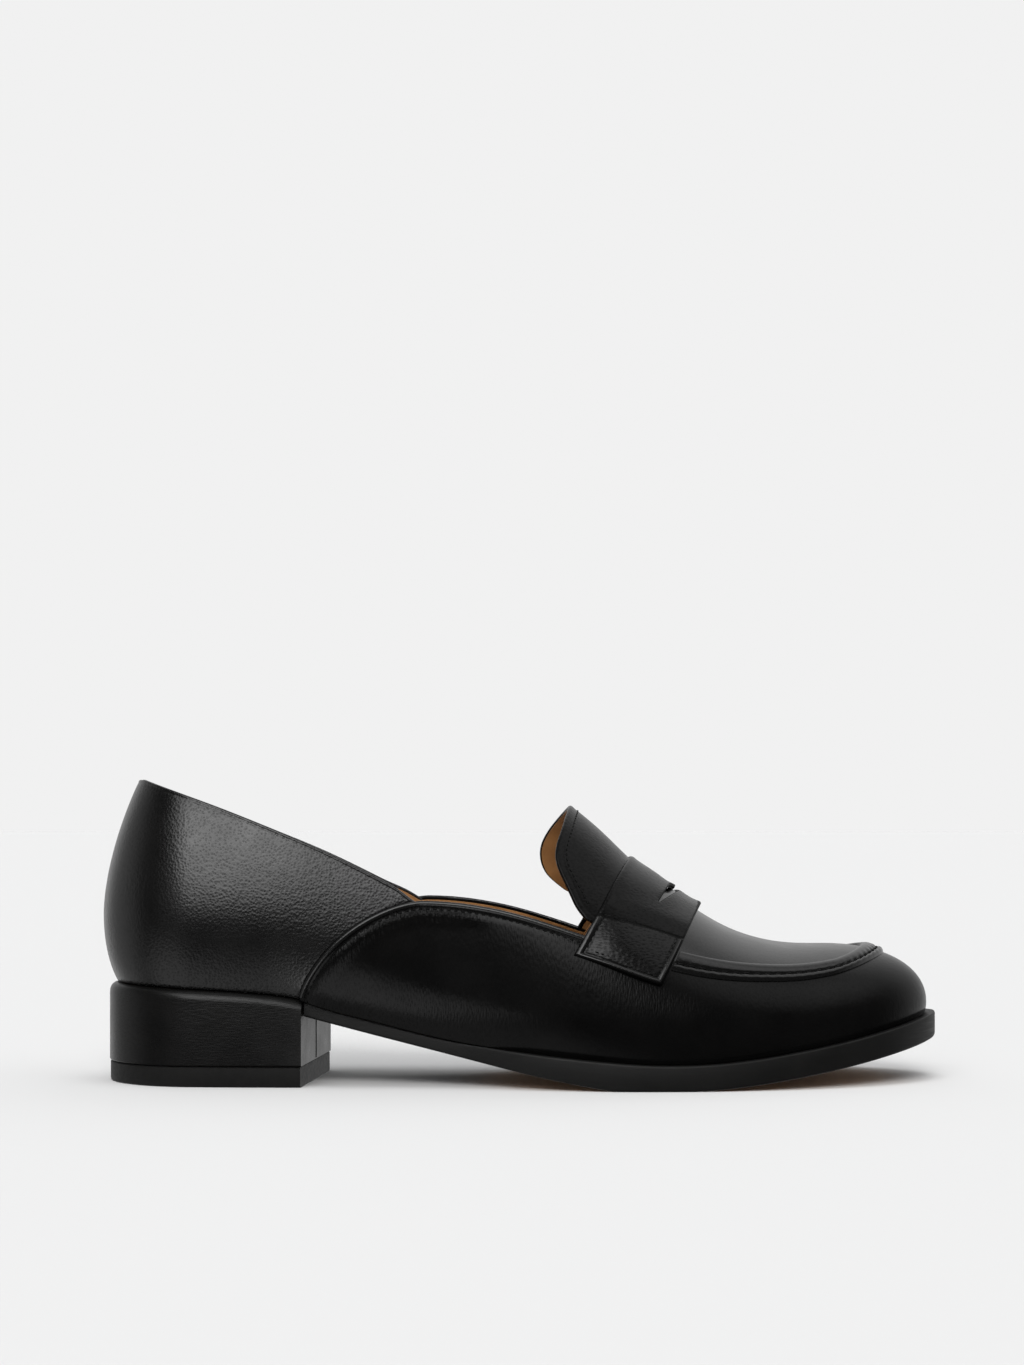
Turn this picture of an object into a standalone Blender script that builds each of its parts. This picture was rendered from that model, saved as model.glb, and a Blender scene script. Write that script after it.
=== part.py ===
"""Right shoe of a pair of low block-heel loafers, as the pieces that a shoemaker puts together.

Everything is worked out from a last: the outline of its bottom, the height of its ridge and a few
sections. Each leather piece lies on that last or at a set distance from it.
Sizes are in millimetres. x runs forward from the rearmost point of the heel, y towards the inner
side of the foot and z up from the floor. main() stands the shoe with its base centre on the origin.
"""

import math
from collections import namedtuple

import bmesh
import bpy
import numpy as np

# Driving sizes
MM = 0.001
GAP = 0.3
TOUCH = 0.0001
WALL = 1.9
INSOLE_THICK = 2.5
TONGUE_THICK = 1.8
STRAP_THICK = 1.9
TOE_SPRING = 12.9
BREAST_RISE = 20.9
LIFT_THICK = 6.0
HEEL_MARGIN = 2.3
MEDIAL_DROP = 2.0
MEDIAL_DROP_OVER = 18.0

# The heel axis turns outward from the shoe's own, and strap and throat lean back across the instep.
# The strap's lines also bow back on their way down.
HEEL_CENTRE = (32.0, 0.0)
HEEL_TURN = math.radians(-5.0)
BREAST_AHEAD = 33.2
INSTEP_LEAN = math.tan(math.radians(33.0))
STRAP_BOW = 1.5

# The sole's underside: shank, flat tread at the ball, toe spring
SHANK_START = 63.0
TREAD_START = 156.0
TREAD_END = 178.0
TOE_END = 255.5
SHANK_POWER = 1.2
SPRING_POWER = 1.5

# The last is a row of straight sections between a fan of sections at each end
FAN_HEEL_X = 32.0
FAN_TOE_X = 222.0
SPAN = FAN_TOE_X - FAN_HEEL_X
LOWER_ARC = math.radians(52.0)

# Outline of the last's bottom, anticlockwise from above: heading of travel, reach of the curve each way
Knot = namedtuple("Knot", "place x y heading reach_before reach_after")
FEATHER_LINE = [
    Knot("heel back", 4.1, 2.4, -95, 15, 15),
    Knot("lateral heel", 29.6, -27.4, -5, 15, 20),
    Knot("lateral waist", 92.0, -30.0, -3, 22, 26),
    Knot("lateral ball", 166.0, -41.5, 0, 30, 50),
    Knot("toe tip", 252.8, 8.0, 90, 26, 22),
    Knot("medial ball", 188.0, 43.0, 180, 40, 30),
    Knot("medial waist", 105.0, 21.5, 180, 30, 26),
    Knot("medial heel", 34.4, 27.4, 175, 20, 15),
]

# Top face of the sole and the heel seat, along the shoe
SeatRow = namedtuple("SeatRow", "x height")
SEAT = [
    SeatRow(4, 30.2),
    SeatRow(30, 28.9),
    SeatRow(52, 27.5),
    SeatRow(62, 25.9),
    SeatRow(72, 22.7),
    SeatRow(82, 20.0),
    SeatRow(104, 14.6),
    SeatRow(129, 10.9),
    SeatRow(150, 8.8),
    SeatRow(170, 7.6),
    SeatRow(190, 8.4),
    SeatRow(205, 10.3),
    SeatRow(230, 14.8),
    SeatRow(256, 20.7),
]

# How far the outsole's edge stands out from the feather line
FlangeRow = namedtuple("FlangeRow", "x width")
FLANGE = [
    FlangeRow(60, -1.2),
    FlangeRow(105, -0.9),
    FlangeRow(116, 0.2),
    FlangeRow(129, 2.4),
    FlangeRow(142, 2.9),
    FlangeRow(200, 2.9),
    FlangeRow(256, 3.3),
]

# Ridge of the last, from the heel fan over the instep to the toe fan
RidgeRow = namedtuple("RidgeRow", "x y z")
RIDGE = [
    RidgeRow(32, 0.0, 115.0),
    RidgeRow(60, -1.6, 119.0),
    RidgeRow(90, -2.4, 115.0),
    RidgeRow(120, -1.8, 101.5),
    RidgeRow(143, -0.4, 83.9),
    RidgeRow(152, 0.4, 76.4),
    RidgeRow(162, 1.4, 66.8),
    RidgeRow(171, 2.3, 59.4),
    RidgeRow(180, 3.2, 53.0),
    RidgeRow(190, 4.2, 47.0),
    RidgeRow(200, 5.1, 43.2),
    RidgeRow(210, 5.9, 41.4),
    RidgeRow(222, 6.6, 41.1),
]

# Sections of the last: how far the wall bulges past the bottom, how high up, how full side and crown are
Section = namedtuple("Section", "x bulge_lateral bulge_medial bulge_height side_fill crown_fill")
SECTIONS = [
    Section(4, 4.2, 4.2, 20.0, 0.35, 0.45),
    Section(32, 4.0, 4.0, 20.0, 0.35, 0.45),
    Section(70, 4.0, 5.0, 19.5, 0.38, 0.48),
    Section(105, 3.6, 6.2, 16.5, 0.48, 0.54),
    Section(143, 2.4, 4.2, 12.0, 0.58, 0.50),
    Section(180, 1.5, 1.7, 9.0, 0.60, 0.52),
    Section(200, 1.2, 1.2, 7.5, 0.60, 0.60),
    Section(222, 0.8, 0.8, 5.5, 0.60, 0.60),
    Section(253, 0.5, 0.5, 3.2, 0.60, 0.60),
]

# Collar line of the quarter, from the back of the heel to where it dives under the vamp
ToplineRow = namedtuple("ToplineRow", "x height")
QUARTER_TOP = [
    ToplineRow(11.6, 92.4),
    ToplineRow(38, 83.2),
    ToplineRow(52, 77.7),
    ToplineRow(67, 71.4),
    ToplineRow(83, 63.6),
    ToplineRow(92, 58.8),
    ToplineRow(101, 53.0),
]

# The vamp's folded edge: a rounded corner up from the heel breast, then the collar line to the throat
EDGE_FOOT_X = 61.6
EDGE_FOOT_Z = 24.2
EDGE_TOP_X = 98.6
EDGE_TOP_Z = 55.3
EDGE_POWER = 1.65
EDGE_FOOT_ANGLE = 0.2
VAMP_TOP = [
    ToplineRow(EDGE_TOP_X, EDGE_TOP_Z),
    ToplineRow(114, 54.1),
    ToplineRow(125, 51.9),
    ToplineRow(139, 47.7),
    ToplineRow(158, 41.0),
]
EDGE_END_X = 143.0
EDGE_HALF_WIDTH = 0.9
EDGE_HEIGHT = 1.1
EDGE_RIM = 0.2
COLLAR_NOTCH_X = 97.1

# Places along the ridge, and how far down the section each piece reaches (1 at the ridge, 0 at the bulge)
STRAP_REAR = 161.3
STRAP_FRONT = 182.2
STRAP_END = 0.175
SLOT_MIDDLE = 172.5
SLOT_HALF_WIDTH = 2.2
SLOT_TIP_SHARE = 0.04
SLOT_REACH = 0.46
THROAT = 170.0
TONGUE_BASE = 169.4
TONGUE_TIP = 143.2
TONGUE_CORNER = 18.7
TONGUE_CORNER_POWER = 2.5
TONGUE_EDGE_LATERAL = 0.31
TONGUE_EDGE_MEDIAL = 0.37
TONGUE_MEDIAL_BACK = 6.0

# The raised seam lies this far in from the widest line of the last
SeamRow = namedtuple("SeamRow", "x inset")
SEAM_PLACE = [
    SeamRow(165, 5.6),
    SeamRow(181, 6.8),
    SeamRow(200, 8.6),
    SeamRow(222, 10.2),
    SeamRow(253, 14.6),
]
SEAM_HALF_WIDTH = 3.5
SEAM_HEIGHT = 1.7
SEAM_RIM = 0.3
SEAM_OFF_STRAP = 1.0

Finish = namedtuple("Finish", "colour roughness")
BLACK_LEATHER = Finish((0.016, 0.016, 0.017, 1), 0.42)
BLACK_EDGE = Finish((0.022, 0.021, 0.020, 1), 0.50)
BLACK_RUBBER = Finish((0.014, 0.014, 0.014, 1), 0.62)
TAN_LEATHER = Finish((0.250, 0.150, 0.080, 1), 0.58)


def spline(points, first_slope=None, last_slope=None):
    """Return the cubic spline through (x, value) points; an end with no slope given is left free."""
    xs, ys = np.array(points, float).T
    step = np.diff(xs)
    rise = np.diff(ys) / step
    count = len(xs)
    matrix = np.zeros((count, count))
    target = np.zeros(count)
    matrix[0, 0] = matrix[-1, -1] = 1.0
    for i in range(1, count - 1):
        matrix[i, i - 1 : i + 2] = step[i - 1], 2 * (step[i - 1] + step[i]), step[i]
        target[i] = 6 * (rise[i] - rise[i - 1])
    if first_slope is not None:
        matrix[0, :2] = 2 * step[0], step[0]
        target[0] = 6 * (rise[0] - first_slope)
    if last_slope is not None:
        matrix[-1, -2:] = step[-1], 2 * step[-1]
        target[-1] = 6 * (last_slope - rise[-1])
    bend = np.linalg.solve(matrix, target)

    def value(x):
        x = np.clip(x, xs[0], xs[-1])
        i = np.clip(np.searchsorted(xs, x, side="right") - 1, 0, count - 2)
        after = (x - xs[i]) / step[i]
        before = 1 - after
        curve = (before**3 - before) * bend[i] + (after**3 - after) * bend[i + 1]
        return before * ys[i] + after * ys[i + 1] + curve * step[i] ** 2 / 6

    return value


def column(table, name, **slopes):
    """Return one named column of a table as a smooth function of x."""
    return spline([(row.x, getattr(row, name)) for row in table], **slopes)


def feather_points(per_curve=160):
    """Return the feather line as points and outward normals, from the heel back by the lateral side."""
    points = []
    share = np.linspace(0, 1, per_curve, endpoint=False)[:, None]
    for knot, following in zip(FEATHER_LINE, FEATHER_LINE[1:] + FEATHER_LINE[:1]):
        start, end = np.array([knot.x, knot.y]), np.array([following.x, following.y])
        leave, arrive = math.radians(knot.heading), math.radians(following.heading)
        first = start + knot.reach_after * np.array([math.cos(leave), math.sin(leave)])
        second = end - following.reach_before * np.array([math.cos(arrive), math.sin(arrive)])
        rest = 1 - share
        points.append(
            rest**3 * start + 3 * rest**2 * share * first + 3 * rest * share**2 * second + share**3 * end
        )
    points = np.concatenate(points)
    along = np.roll(points, -1, axis=0) - np.roll(points, 1, axis=0)
    along /= np.linalg.norm(along, axis=1)[:, None]
    return points, np.stack([along[:, 1], -along[:, 0]], axis=1)


def sides_of(loop):
    """Return a loop's lateral and medial y as functions of x, with the loop's ends in x."""
    back, front = loop[:, 0].argmin(), loop[:, 0].argmax()
    loop = np.roll(loop, -back, axis=0)
    front = (front - back) % len(loop)
    lateral = loop[: front + 1]
    medial = np.concatenate([loop[front:], loop[:1]])[::-1]

    def y_lateral(x):
        return np.interp(x, lateral[:, 0], lateral[:, 1])

    def y_medial(x):
        return np.interp(x, medial[:, 0], medial[:, 1])

    return y_lateral, y_medial, loop[0, 0], lateral[-1, 0]


FEATHER, FEATHER_NORMAL = feather_points()
FEATHER_LATERAL, FEATHER_MEDIAL, FEATHER_BACK, FEATHER_TIP = sides_of(FEATHER)
seat_height = column(SEAT, "height")
flange_width = column(FLANGE, "width")
ridge_y = column(RIDGE, "y", first_slope=0, last_slope=0)
ridge_z = column(RIDGE, "z", first_slope=0, last_slope=0)
bulge_lateral = column(SECTIONS, "bulge_lateral")
bulge_medial = column(SECTIONS, "bulge_medial")
bulge_height = column(SECTIONS, "bulge_height")
side_fill = column(SECTIONS, "side_fill")
crown_fill = column(SECTIONS, "crown_fill")
quarter_top = column(QUARTER_TOP, "height")
vamp_top = column(VAMP_TOP, "height", first_slope=0)
seam_inset = column(SEAM_PLACE, "inset")


def fan_reach(centre_x):
    """Return how far the feather line is from a point of the ridge, as a function of the direction."""
    offset = FEATHER - [centre_x, float(ridge_y(centre_x))]
    angle = np.mod(np.arctan2(offset[:, 1], offset[:, 0]), 2 * math.pi)
    order = np.argsort(angle)
    angle, reach = angle[order], np.linalg.norm(offset, axis=1)[order]

    def value(direction):
        return np.interp(np.mod(direction, 2 * math.pi), angle, reach, period=2 * math.pi)

    return value


heel_reach = fan_reach(FAN_HEEL_X)
toe_reach = fan_reach(FAN_TOE_X)


def place_at(x, medial):
    """Return the place on the loop of sections where a straight section stands at x."""
    along = (np.asarray(x, float) - FAN_HEEL_X) / SPAN
    return np.where(medial, 4 - along, 1 + along)


def last_point(place, level):
    """Return points of the last.

    place goes round the loop of sections: 0 to 1 heel back to lateral side, to 2 along the lateral side,
    to 3 round the toe, to 4 back along the medial side, to 5 round to the heel back.
    level goes up a section: -1 at the feather line, 0 at the bulge, 1 at the ridge.
    """
    place, level = np.broadcast_arrays(np.mod(place, 5.0), np.asarray(level, float))
    parts = [place < 1, place < 2, place < 3, place < 4]
    quarter = math.pi / 2
    x_back, x_ahead = FAN_HEEL_X + (place - 1) * SPAN, FAN_TOE_X - (place - 3) * SPAN
    x_ridge = np.select(parts, [FAN_HEEL_X + 0 * place, x_back, FAN_TOE_X + 0 * place, x_ahead], FAN_HEEL_X)
    turn = quarter * np.select(
        parts,
        [2 + place, 3 + 0 * place, 3 + 2 * (place - 2), 1 + 0 * place],
        1 + place - 4,
    )
    y_ridge = ridge_y(x_ridge)
    lateral_reach = y_ridge - FEATHER_LATERAL(x_ridge)
    medial_reach = FEATHER_MEDIAL(x_ridge) - y_ridge
    reach = np.select(
        parts,
        [heel_reach(turn), lateral_reach, toe_reach(turn), medial_reach],
        heel_reach(turn),
    )
    x_foot = x_ridge + reach * np.cos(turn)
    bulge = np.where(np.sin(turn) > 0, bulge_medial(x_foot), bulge_lateral(x_foot))
    height = bulge_height(x_foot)
    widest = seat_height(x_foot) + GAP + height
    swing = np.clip(-level, 0, None) * LOWER_ARC
    low_out = reach + bulge - bulge * (1 - np.cos(swing)) / (1 - math.cos(LOWER_ARC))
    low_up = widest - height * np.sin(swing) / math.sin(LOWER_ARC)
    up = np.clip(level, 0, 1)
    rest = 1 - up
    high_out = (reach + bulge) * (rest**3 + 3 * rest**2 * up + 3 * rest * up**2 * crown_fill(x_foot))
    high_up = 3 * rest**2 * up * side_fill(x_foot) + 3 * rest * up**2 + up**3
    high_up = widest + (ridge_z(x_ridge) - widest) * high_up
    out = np.where(level < 0, low_out, high_out)
    z = np.where(level < 0, low_up, high_up)
    return np.stack([x_ridge + out * np.cos(turn), y_ridge + out * np.sin(turn), z], axis=-1)


def last_normal(place, level, step=0.002):
    """Return the outward direction at points of the last."""
    level = np.clip(level, -1 + step, 1 - step)
    along = last_point(place + step, level) - last_point(place - step, level)
    up = last_point(place, level + step) - last_point(place, level - step)
    normal = np.cross(along, up)
    return normal / np.linalg.norm(normal, axis=-1)[..., None]


def lifted(place, level, distance):
    """Return points at a distance outside the last."""
    return last_point(place, level) + last_normal(place, level) * np.asarray(distance, float)[..., None]


def under_ridge(x, depth):
    """Return points at a depth inside the last, square to its ridge."""
    step = 0.5
    slope = (ridge_z(x + step) - ridge_z(x - step)) / (2 * step)
    down = np.stack([slope, 0 * x, -np.ones_like(x)], axis=-1) / np.sqrt(1 + slope**2)[..., None]
    return np.stack([x, ridge_y(x), ridge_z(x)], axis=-1) + depth * down


def level_below(place, height):
    """Return how far up each section stays below height(points)."""
    low, high = -np.ones_like(place), np.ones_like(place)
    for _ in range(40):
        middle = (low + high) / 2
        points = last_point(place, middle)
        below = points[..., 2] < height(points) + TOUCH
        low, high = np.where(below, middle, low), np.where(below, high, middle)
    return np.where(high > 1 - 1e-6, 1.0, low)


def leaning_place(ridge_x, level, medial, bow=0.0):
    """Return where a section that leans back across the instep from ridge_x crosses each level."""
    x = ridge_x + 0 * level
    bowed_x = ridge_x - bow * np.sin(math.pi * (1 - level) / (1 - STRAP_END))
    for _ in range(30):
        drop = ridge_z(ridge_x) - last_point(place_at(x, medial), level)[..., 2]
        x = (x + bowed_x - INSTEP_LEAN * drop) / 2
    return place_at(x, medial)


def vamp_line(x):
    """Return the height of the vamp's folded edge, seen from the side."""
    share = np.clip((EDGE_TOP_X - x) / (EDGE_TOP_X - EDGE_FOOT_X), 0, 1)
    corner = EDGE_FOOT_Z + (EDGE_TOP_Z - EDGE_FOOT_Z) * (1 - share**EDGE_POWER) ** (1 / EDGE_POWER)
    return np.where(x < EDGE_TOP_X, corner, vamp_top(x))


def collar_height(points):
    """Return the height at which the upper is cut: collar line, or the throat where that is higher."""
    x, y = points[..., 0], points[..., 1]
    medial = np.clip((y - ridge_y(x)) / MEDIAL_DROP_OVER, 0, 1)
    drop = MEDIAL_DROP * medial**2 * (3 - 2 * medial)
    quarter = np.where(x < QUARTER_TOP[-1].x, quarter_top(x) - drop, 0)
    throat = ridge_z(THROAT) - (THROAT - x) / INSTEP_LEAN
    return np.maximum(np.maximum(quarter, vamp_line(x)), throat)


def material_for(name, finish):
    """Return a new material of one colour and roughness."""
    material = bpy.data.materials.new(name)
    material.use_nodes = True
    shader = material.node_tree.nodes["Principled BSDF"]
    shader.inputs["Base Color"].default_value = finish.colour
    shader.inputs["Roughness"].default_value = finish.roughness
    shader.inputs["Metallic"].default_value = 0.0
    return material


def add_object(name, mesh_data, finish, crease_deg=35):
    """Add a closed mesh to the scene, welded, with its faces pointing out."""
    bmesh.ops.remove_doubles(mesh_data, verts=mesh_data.verts, dist=1e-6)
    bmesh.ops.dissolve_degenerate(mesh_data, edges=mesh_data.edges, dist=1e-7)
    bmesh.ops.triangulate(mesh_data, faces=[face for face in mesh_data.faces if len(face.verts) > 4])
    bmesh.ops.recalc_face_normals(mesh_data, faces=mesh_data.faces)
    mesh = bpy.data.meshes.new(name)
    mesh_data.to_mesh(mesh)
    mesh_data.free()
    mesh.shade_smooth()
    mesh.set_sharp_from_angle(angle=math.radians(crease_deg))
    mesh.materials.append(material_for(name, finish))
    made = bpy.data.objects.new(name, mesh)
    bpy.context.collection.objects.link(made)
    return made


def mesh_from(points, faces):
    """Return a bmesh of points in millimetres and faces of their indices."""
    mesh_data = bmesh.new()
    verts = [mesh_data.verts.new(point) for point in np.asarray(points) * MM]
    for face in faces:
        mesh_data.faces.new([verts[i] for i in face])
    return mesh_data


def skin(outer, inner, loop=False, closed_top=None):
    """Return a closed mesh between two grids of points, whose first index goes along and second up.

    closed_top marks the lines that meet their partner at the ridge, where the skin has no edge.
    """
    lines, levels = outer.shape[:2]
    closed_top = np.zeros(lines, bool) if closed_top is None else closed_top
    inside = lines * levels
    faces = []
    for i in range(lines if loop else lines - 1):
        k = (i + 1) % lines
        for j in range(levels - 1):
            quad = [i * levels + j, k * levels + j, k * levels + j + 1, i * levels + j + 1]
            faces.append(quad)
            faces.append([inside + corner for corner in reversed(quad)])
        for j in (0, levels - 1):
            if j == 0 or not (closed_top[i] and closed_top[k]):
                here, there = i * levels + j, k * levels + j
                faces.append([here, there, inside + there, inside + here])
    if not loop:
        for i in (0, lines - 1):
            for j in range(levels - 1):
                here = i * levels + j
                faces.append([here, here + 1, inside + here + 1, inside + here])
    return mesh_from(np.concatenate([outer.reshape(-1, 3), inner.reshape(-1, 3)]), faces)


# A slab's edge from top face to underside: in from the outline, down from the top or up from the bottom
EdgeRow = namedtuple("EdgeRow", "inset down up")
OUTSOLE_EDGE = [EdgeRow(0.9, 0, None), EdgeRow(0, 0.6, None), EdgeRow(0, None, 0.7), EdgeRow(0.9, None, 0)]
HEEL_EDGE = [
    EdgeRow(2.4, 0, None),
    EdgeRow(1.2, 0.35, None),
    EdgeRow(0.35, 1.2, None),
    EdgeRow(0, 2.4, None),
    EdgeRow(0, None, 0),
]
LIFT_EDGE = [EdgeRow(0.3, 0, None), EdgeRow(0.3, None, 0.6), EdgeRow(0.8, None, 0)]
INSOLE_EDGE = [EdgeRow(0.5, 0, None), EdgeRow(0, 0.5, None), EdgeRow(0, None, 0)]

# A slab is made of straight lines across, crowded towards ends that stay a little blunt
SLAB_LINES = 46
BLUNT_END = 0.012
LARGEST_INSET = 0.45


def slab(stations, margin, top, bottom, edge):
    """Return a solid over the feather line moved out by margin(x), with its edge shaped by EdgeRows."""
    outline = FEATHER + FEATHER_NORMAL * margin(FEATHER[:, 0])[:, None]
    y_lateral, y_medial, x_back, x_tip = sides_of(outline)
    points, faces = [], []
    for x in x_back + (x_tip - x_back) * stations:
        right, left = float(y_lateral(x)), float(y_medial(x))
        high, low = float(top(x)), float(bottom(x))
        heights = [high - row.down if row.up is None else low + row.up for row in edge]
        insets = [min(row.inset, LARGEST_INSET * (left - right)) for row in edge]
        points += [(x, right + inset, z) for inset, z in zip(insets, heights)]
        points += [(x, left - inset, z) for inset, z in reversed(list(zip(insets, heights)))]
    around = 2 * len(edge)
    for i in range(len(stations) - 1):
        for j in range(around):
            k = (j + 1) % around
            faces.append([i * around + j, i * around + k, (i + 1) * around + k, (i + 1) * around + j])
    faces.append(list(range(around)))
    faces.append(list(range(len(points) - around, len(points)))[::-1])
    return mesh_from(points, faces)


def rounded_ends(count):
    """Return shares from 0 to 1 that crowd towards both ends, where an outline turns round."""
    return (1 - np.cos(np.linspace(BLUNT_END, 1 - BLUNT_END, count) * math.pi)) / 2


def cut_at_breast(mesh_data, ahead, keep_front):
    """Cut a mesh across the heel axis and keep one side."""
    axis = np.array([math.cos(HEEL_TURN), math.sin(HEEL_TURN), 0])
    point = np.array([*HEEL_CENTRE, 0]) + axis * ahead
    geometry = mesh_data.verts[:] + mesh_data.edges[:] + mesh_data.faces[:]
    cut = bmesh.ops.bisect_plane(
        mesh_data,
        geom=geometry,
        dist=1e-7,
        plane_co=point * MM,
        plane_no=axis,
        clear_inner=keep_front,
        clear_outer=not keep_front,
    )
    edges = [item for item in cut["geom_cut"] if isinstance(item, bmesh.types.BMEdge)]
    bmesh.ops.holes_fill(mesh_data, edges=edges, sides=0)
    return mesh_data


def tread_height(x):
    """Return the height of the sole's underside along the shoe."""
    shank = np.clip((TREAD_START - x) / (TREAD_START - SHANK_START), 0, None)
    spring = np.clip((x - TREAD_END) / (TOE_END - TREAD_END), 0, None)
    return BREAST_RISE * shank**SHANK_POWER + TOE_SPRING * spring**SPRING_POWER


def make_outsole():
    """The sole from heel breast to toe: thin and tucked in at the waist, flanged round the forefoot."""
    mesh_data = slab(rounded_ends(SLAB_LINES), flange_width, seat_height, tread_height, OUTSOLE_EDGE)
    cut_at_breast(mesh_data, BREAST_AHEAD + GAP, keep_front=True)
    return add_object("outsole", mesh_data, BLACK_EDGE)


def heel_margin(x):
    """Return how far the heel's outline stands out from the feather line."""
    return HEEL_MARGIN + 0 * x


def make_heel():
    """The covered block, whose top edge is rounded over under the upper."""
    floor = LIFT_THICK + GAP

    def underside(x):
        return floor + 0 * x

    mesh_data = slab(rounded_ends(SLAB_LINES), heel_margin, seat_height, underside, HEEL_EDGE)
    cut_at_breast(mesh_data, BREAST_AHEAD, keep_front=False)
    return add_object("heel", mesh_data, BLACK_LEATHER)


def make_top_lift():
    """The rubber lift that the heel stands on."""

    def top(x):
        return LIFT_THICK + 0 * x

    def floor(x):
        return 0 * x

    mesh_data = slab(rounded_ends(SLAB_LINES), heel_margin, top, floor, LIFT_EDGE)
    cut_at_breast(mesh_data, BREAST_AHEAD - GAP, keep_front=False)
    return add_object("heel_top_lift", mesh_data, BLACK_RUBBER)


def make_insole():
    """The sock, from heel to toe inside the upper's wall."""

    def margin(x):
        return -WALL - GAP + 0 * x

    def underside(x):
        return seat_height(x) + GAP

    def top(x):
        return underside(x) + INSOLE_THICK

    mesh_data = slab(rounded_ends(SLAB_LINES), margin, top, underside, INSOLE_EDGE)
    return add_object("insole", mesh_data, TAN_LEATHER)


def throat_corner():
    """Return the x at which the collar line runs into the throat."""
    x = np.linspace(EDGE_TOP_X, THROAT, 600)
    return x[np.argmax(ridge_z(THROAT) - (THROAT - x) / INSTEP_LEAN > vamp_line(x))]


def upper_places(spacing=6.4, heel_steps=7, toe_steps=7):
    """Return the places of the upper's sections round the loop, with one at each corner of its edge."""
    corners = [COLLAR_NOTCH_X, throat_corner(), THROAT]
    even = np.linspace(FAN_HEEL_X, FAN_TOE_X, round(SPAN / spacing) + 1)
    clear = np.min(np.abs(even[:, None] - corners), axis=1) > spacing / 3
    clear[[0, -1]] = True
    x = np.sort(np.concatenate([even[clear], corners]))
    heel = np.linspace(0, 1, heel_steps, endpoint=False)
    toe = np.linspace(2, 3, 2 * toe_steps + 1)[1:-1]
    return np.concatenate([heel, place_at(x, False), toe, place_at(x[::-1], True), 5 - heel[:0:-1]])


def make_upper(low_levels=4, high_levels=9):
    """The hollow upper, cut open at the collar and throat and open underneath."""
    place = upper_places()
    top = level_below(place, collar_height)
    low = np.linspace(-1, 0, low_levels, endpoint=False)
    high = np.linspace(0, 1, high_levels + 1)
    level = np.concatenate([low + 0 * place[:, None], high * top[:, None]], axis=1)
    place_grid = place[:, None] + 0 * level
    outer = last_point(place_grid, level)
    inner = lifted(place_grid, level, -WALL + 0 * level)
    inner[:, 0, 2] = outer[:, 0, 2]
    on_ridge = top == 1.0
    inner[on_ridge, -1] = under_ridge(outer[on_ridge, -1, 0], WALL)
    return add_object("upper", skin(outer, inner, loop=True, closed_top=on_ridge), BLACK_LEATHER)


def across_instep(ridge_x, down, deepest, bow=0.0):
    """Return place and level for lines across the instep; down is -1 lateral, 0 at the ridge, 1 medial."""
    level = 1 - np.abs(down) * (1 - deepest)
    return leaning_place(ridge_x, level, down > 0, bow), level


def make_tongue():
    """The apron's flared end, with rounded corners, standing up behind the strap."""
    down = np.sin(np.linspace(-math.pi / 2, math.pi / 2, 21))
    corner = 1 - (1 - np.abs(down) ** TONGUE_CORNER_POWER) ** (1 / TONGUE_CORNER_POWER)
    medial = np.clip(down, 0, 1)
    tip = TONGUE_TIP + TONGUE_CORNER * corner - TONGUE_MEDIAL_BACK * medial**2 * (3 - 2 * medial)
    ridge_x = np.linspace(TONGUE_BASE + 0 * down, tip, 9)
    edge = np.where(down > 0, TONGUE_EDGE_MEDIAL, TONGUE_EDGE_LATERAL)
    place, level = across_instep(ridge_x, down + 0 * ridge_x, edge)
    outer = last_point(place, level)
    inner = lifted(place, level, -TONGUE_THICK + 0 * level)
    return add_object("tongue", skin(outer, inner), BLACK_LEATHER)


def make_strap():
    """The band across the instep, cut through by a lens-shaped slot."""
    down = np.linspace(-1, 1, 31)
    ridge_x = np.linspace(STRAP_REAR + 0 * down, STRAP_FRONT + 0 * down, 7)
    place, level = across_instep(ridge_x, down + 0 * ridge_x, STRAP_END, STRAP_BOW)
    inner = lifted(place, level, GAP + 0 * level)
    outer = lifted(place, level, GAP + STRAP_THICK + 0 * level)
    strap = add_object("saddle_strap", skin(outer, inner), BLACK_LEATHER)

    along = np.linspace(-1, 1, 17)
    width = SLOT_HALF_WIDTH * np.maximum(1 - along**2, SLOT_TIP_SHARE)
    edges = np.stack([SLOT_MIDDLE - width, SLOT_MIDDLE + width])
    place, level = across_instep(edges, SLOT_REACH * along + 0 * edges, STRAP_END, STRAP_BOW)
    below = lifted(place, level, -STRAP_THICK / 2 + 0 * level)
    above = lifted(place, level, 2 * STRAP_THICK + 0 * level)
    cutter = add_object("slot_cutter", skin(above, below), BLACK_LEATHER)
    cutter.hide_render = True
    cutter.display_type = "WIRE"
    cut = strap.modifiers.new("slot", "BOOLEAN")
    cut.operation = "DIFFERENCE"
    cut.solver = "EXACT"
    cut.object = cutter
    return [strap, cutter]


def seam_level(place):
    """Return how far up each section the middle of the raised seam lies."""
    x_foot = last_point(place, -1 + 0 * place)[..., 0]
    middle_x = np.clip(x_foot, FAN_HEEL_X, FAN_TOE_X)
    centre = np.stack([middle_x, ridge_y(middle_x)], axis=-1)

    def out(level):
        return np.linalg.norm(last_point(place, level)[..., :2] - centre, axis=-1)

    wanted = out(0 * place) - seam_inset(x_foot)
    low, high = 0 * place, 1 + 0 * place
    for _ in range(40):
        middle = (low + high) / 2
        outside = out(middle) > wanted
        low, high = np.where(outside, middle, low), np.where(outside, high, middle)
    return low


def seam_band_level(place, across):
    """Return how far up each section a line of the raised seam lies, from -1 at its lower edge to 1."""
    step = 0.005
    level = seam_level(place)
    climb = last_point(place, level + step) - last_point(place, level - step)
    return level + across * SEAM_HALF_WIDTH * 2 * step / np.linalg.norm(climb, axis=-1)


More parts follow.
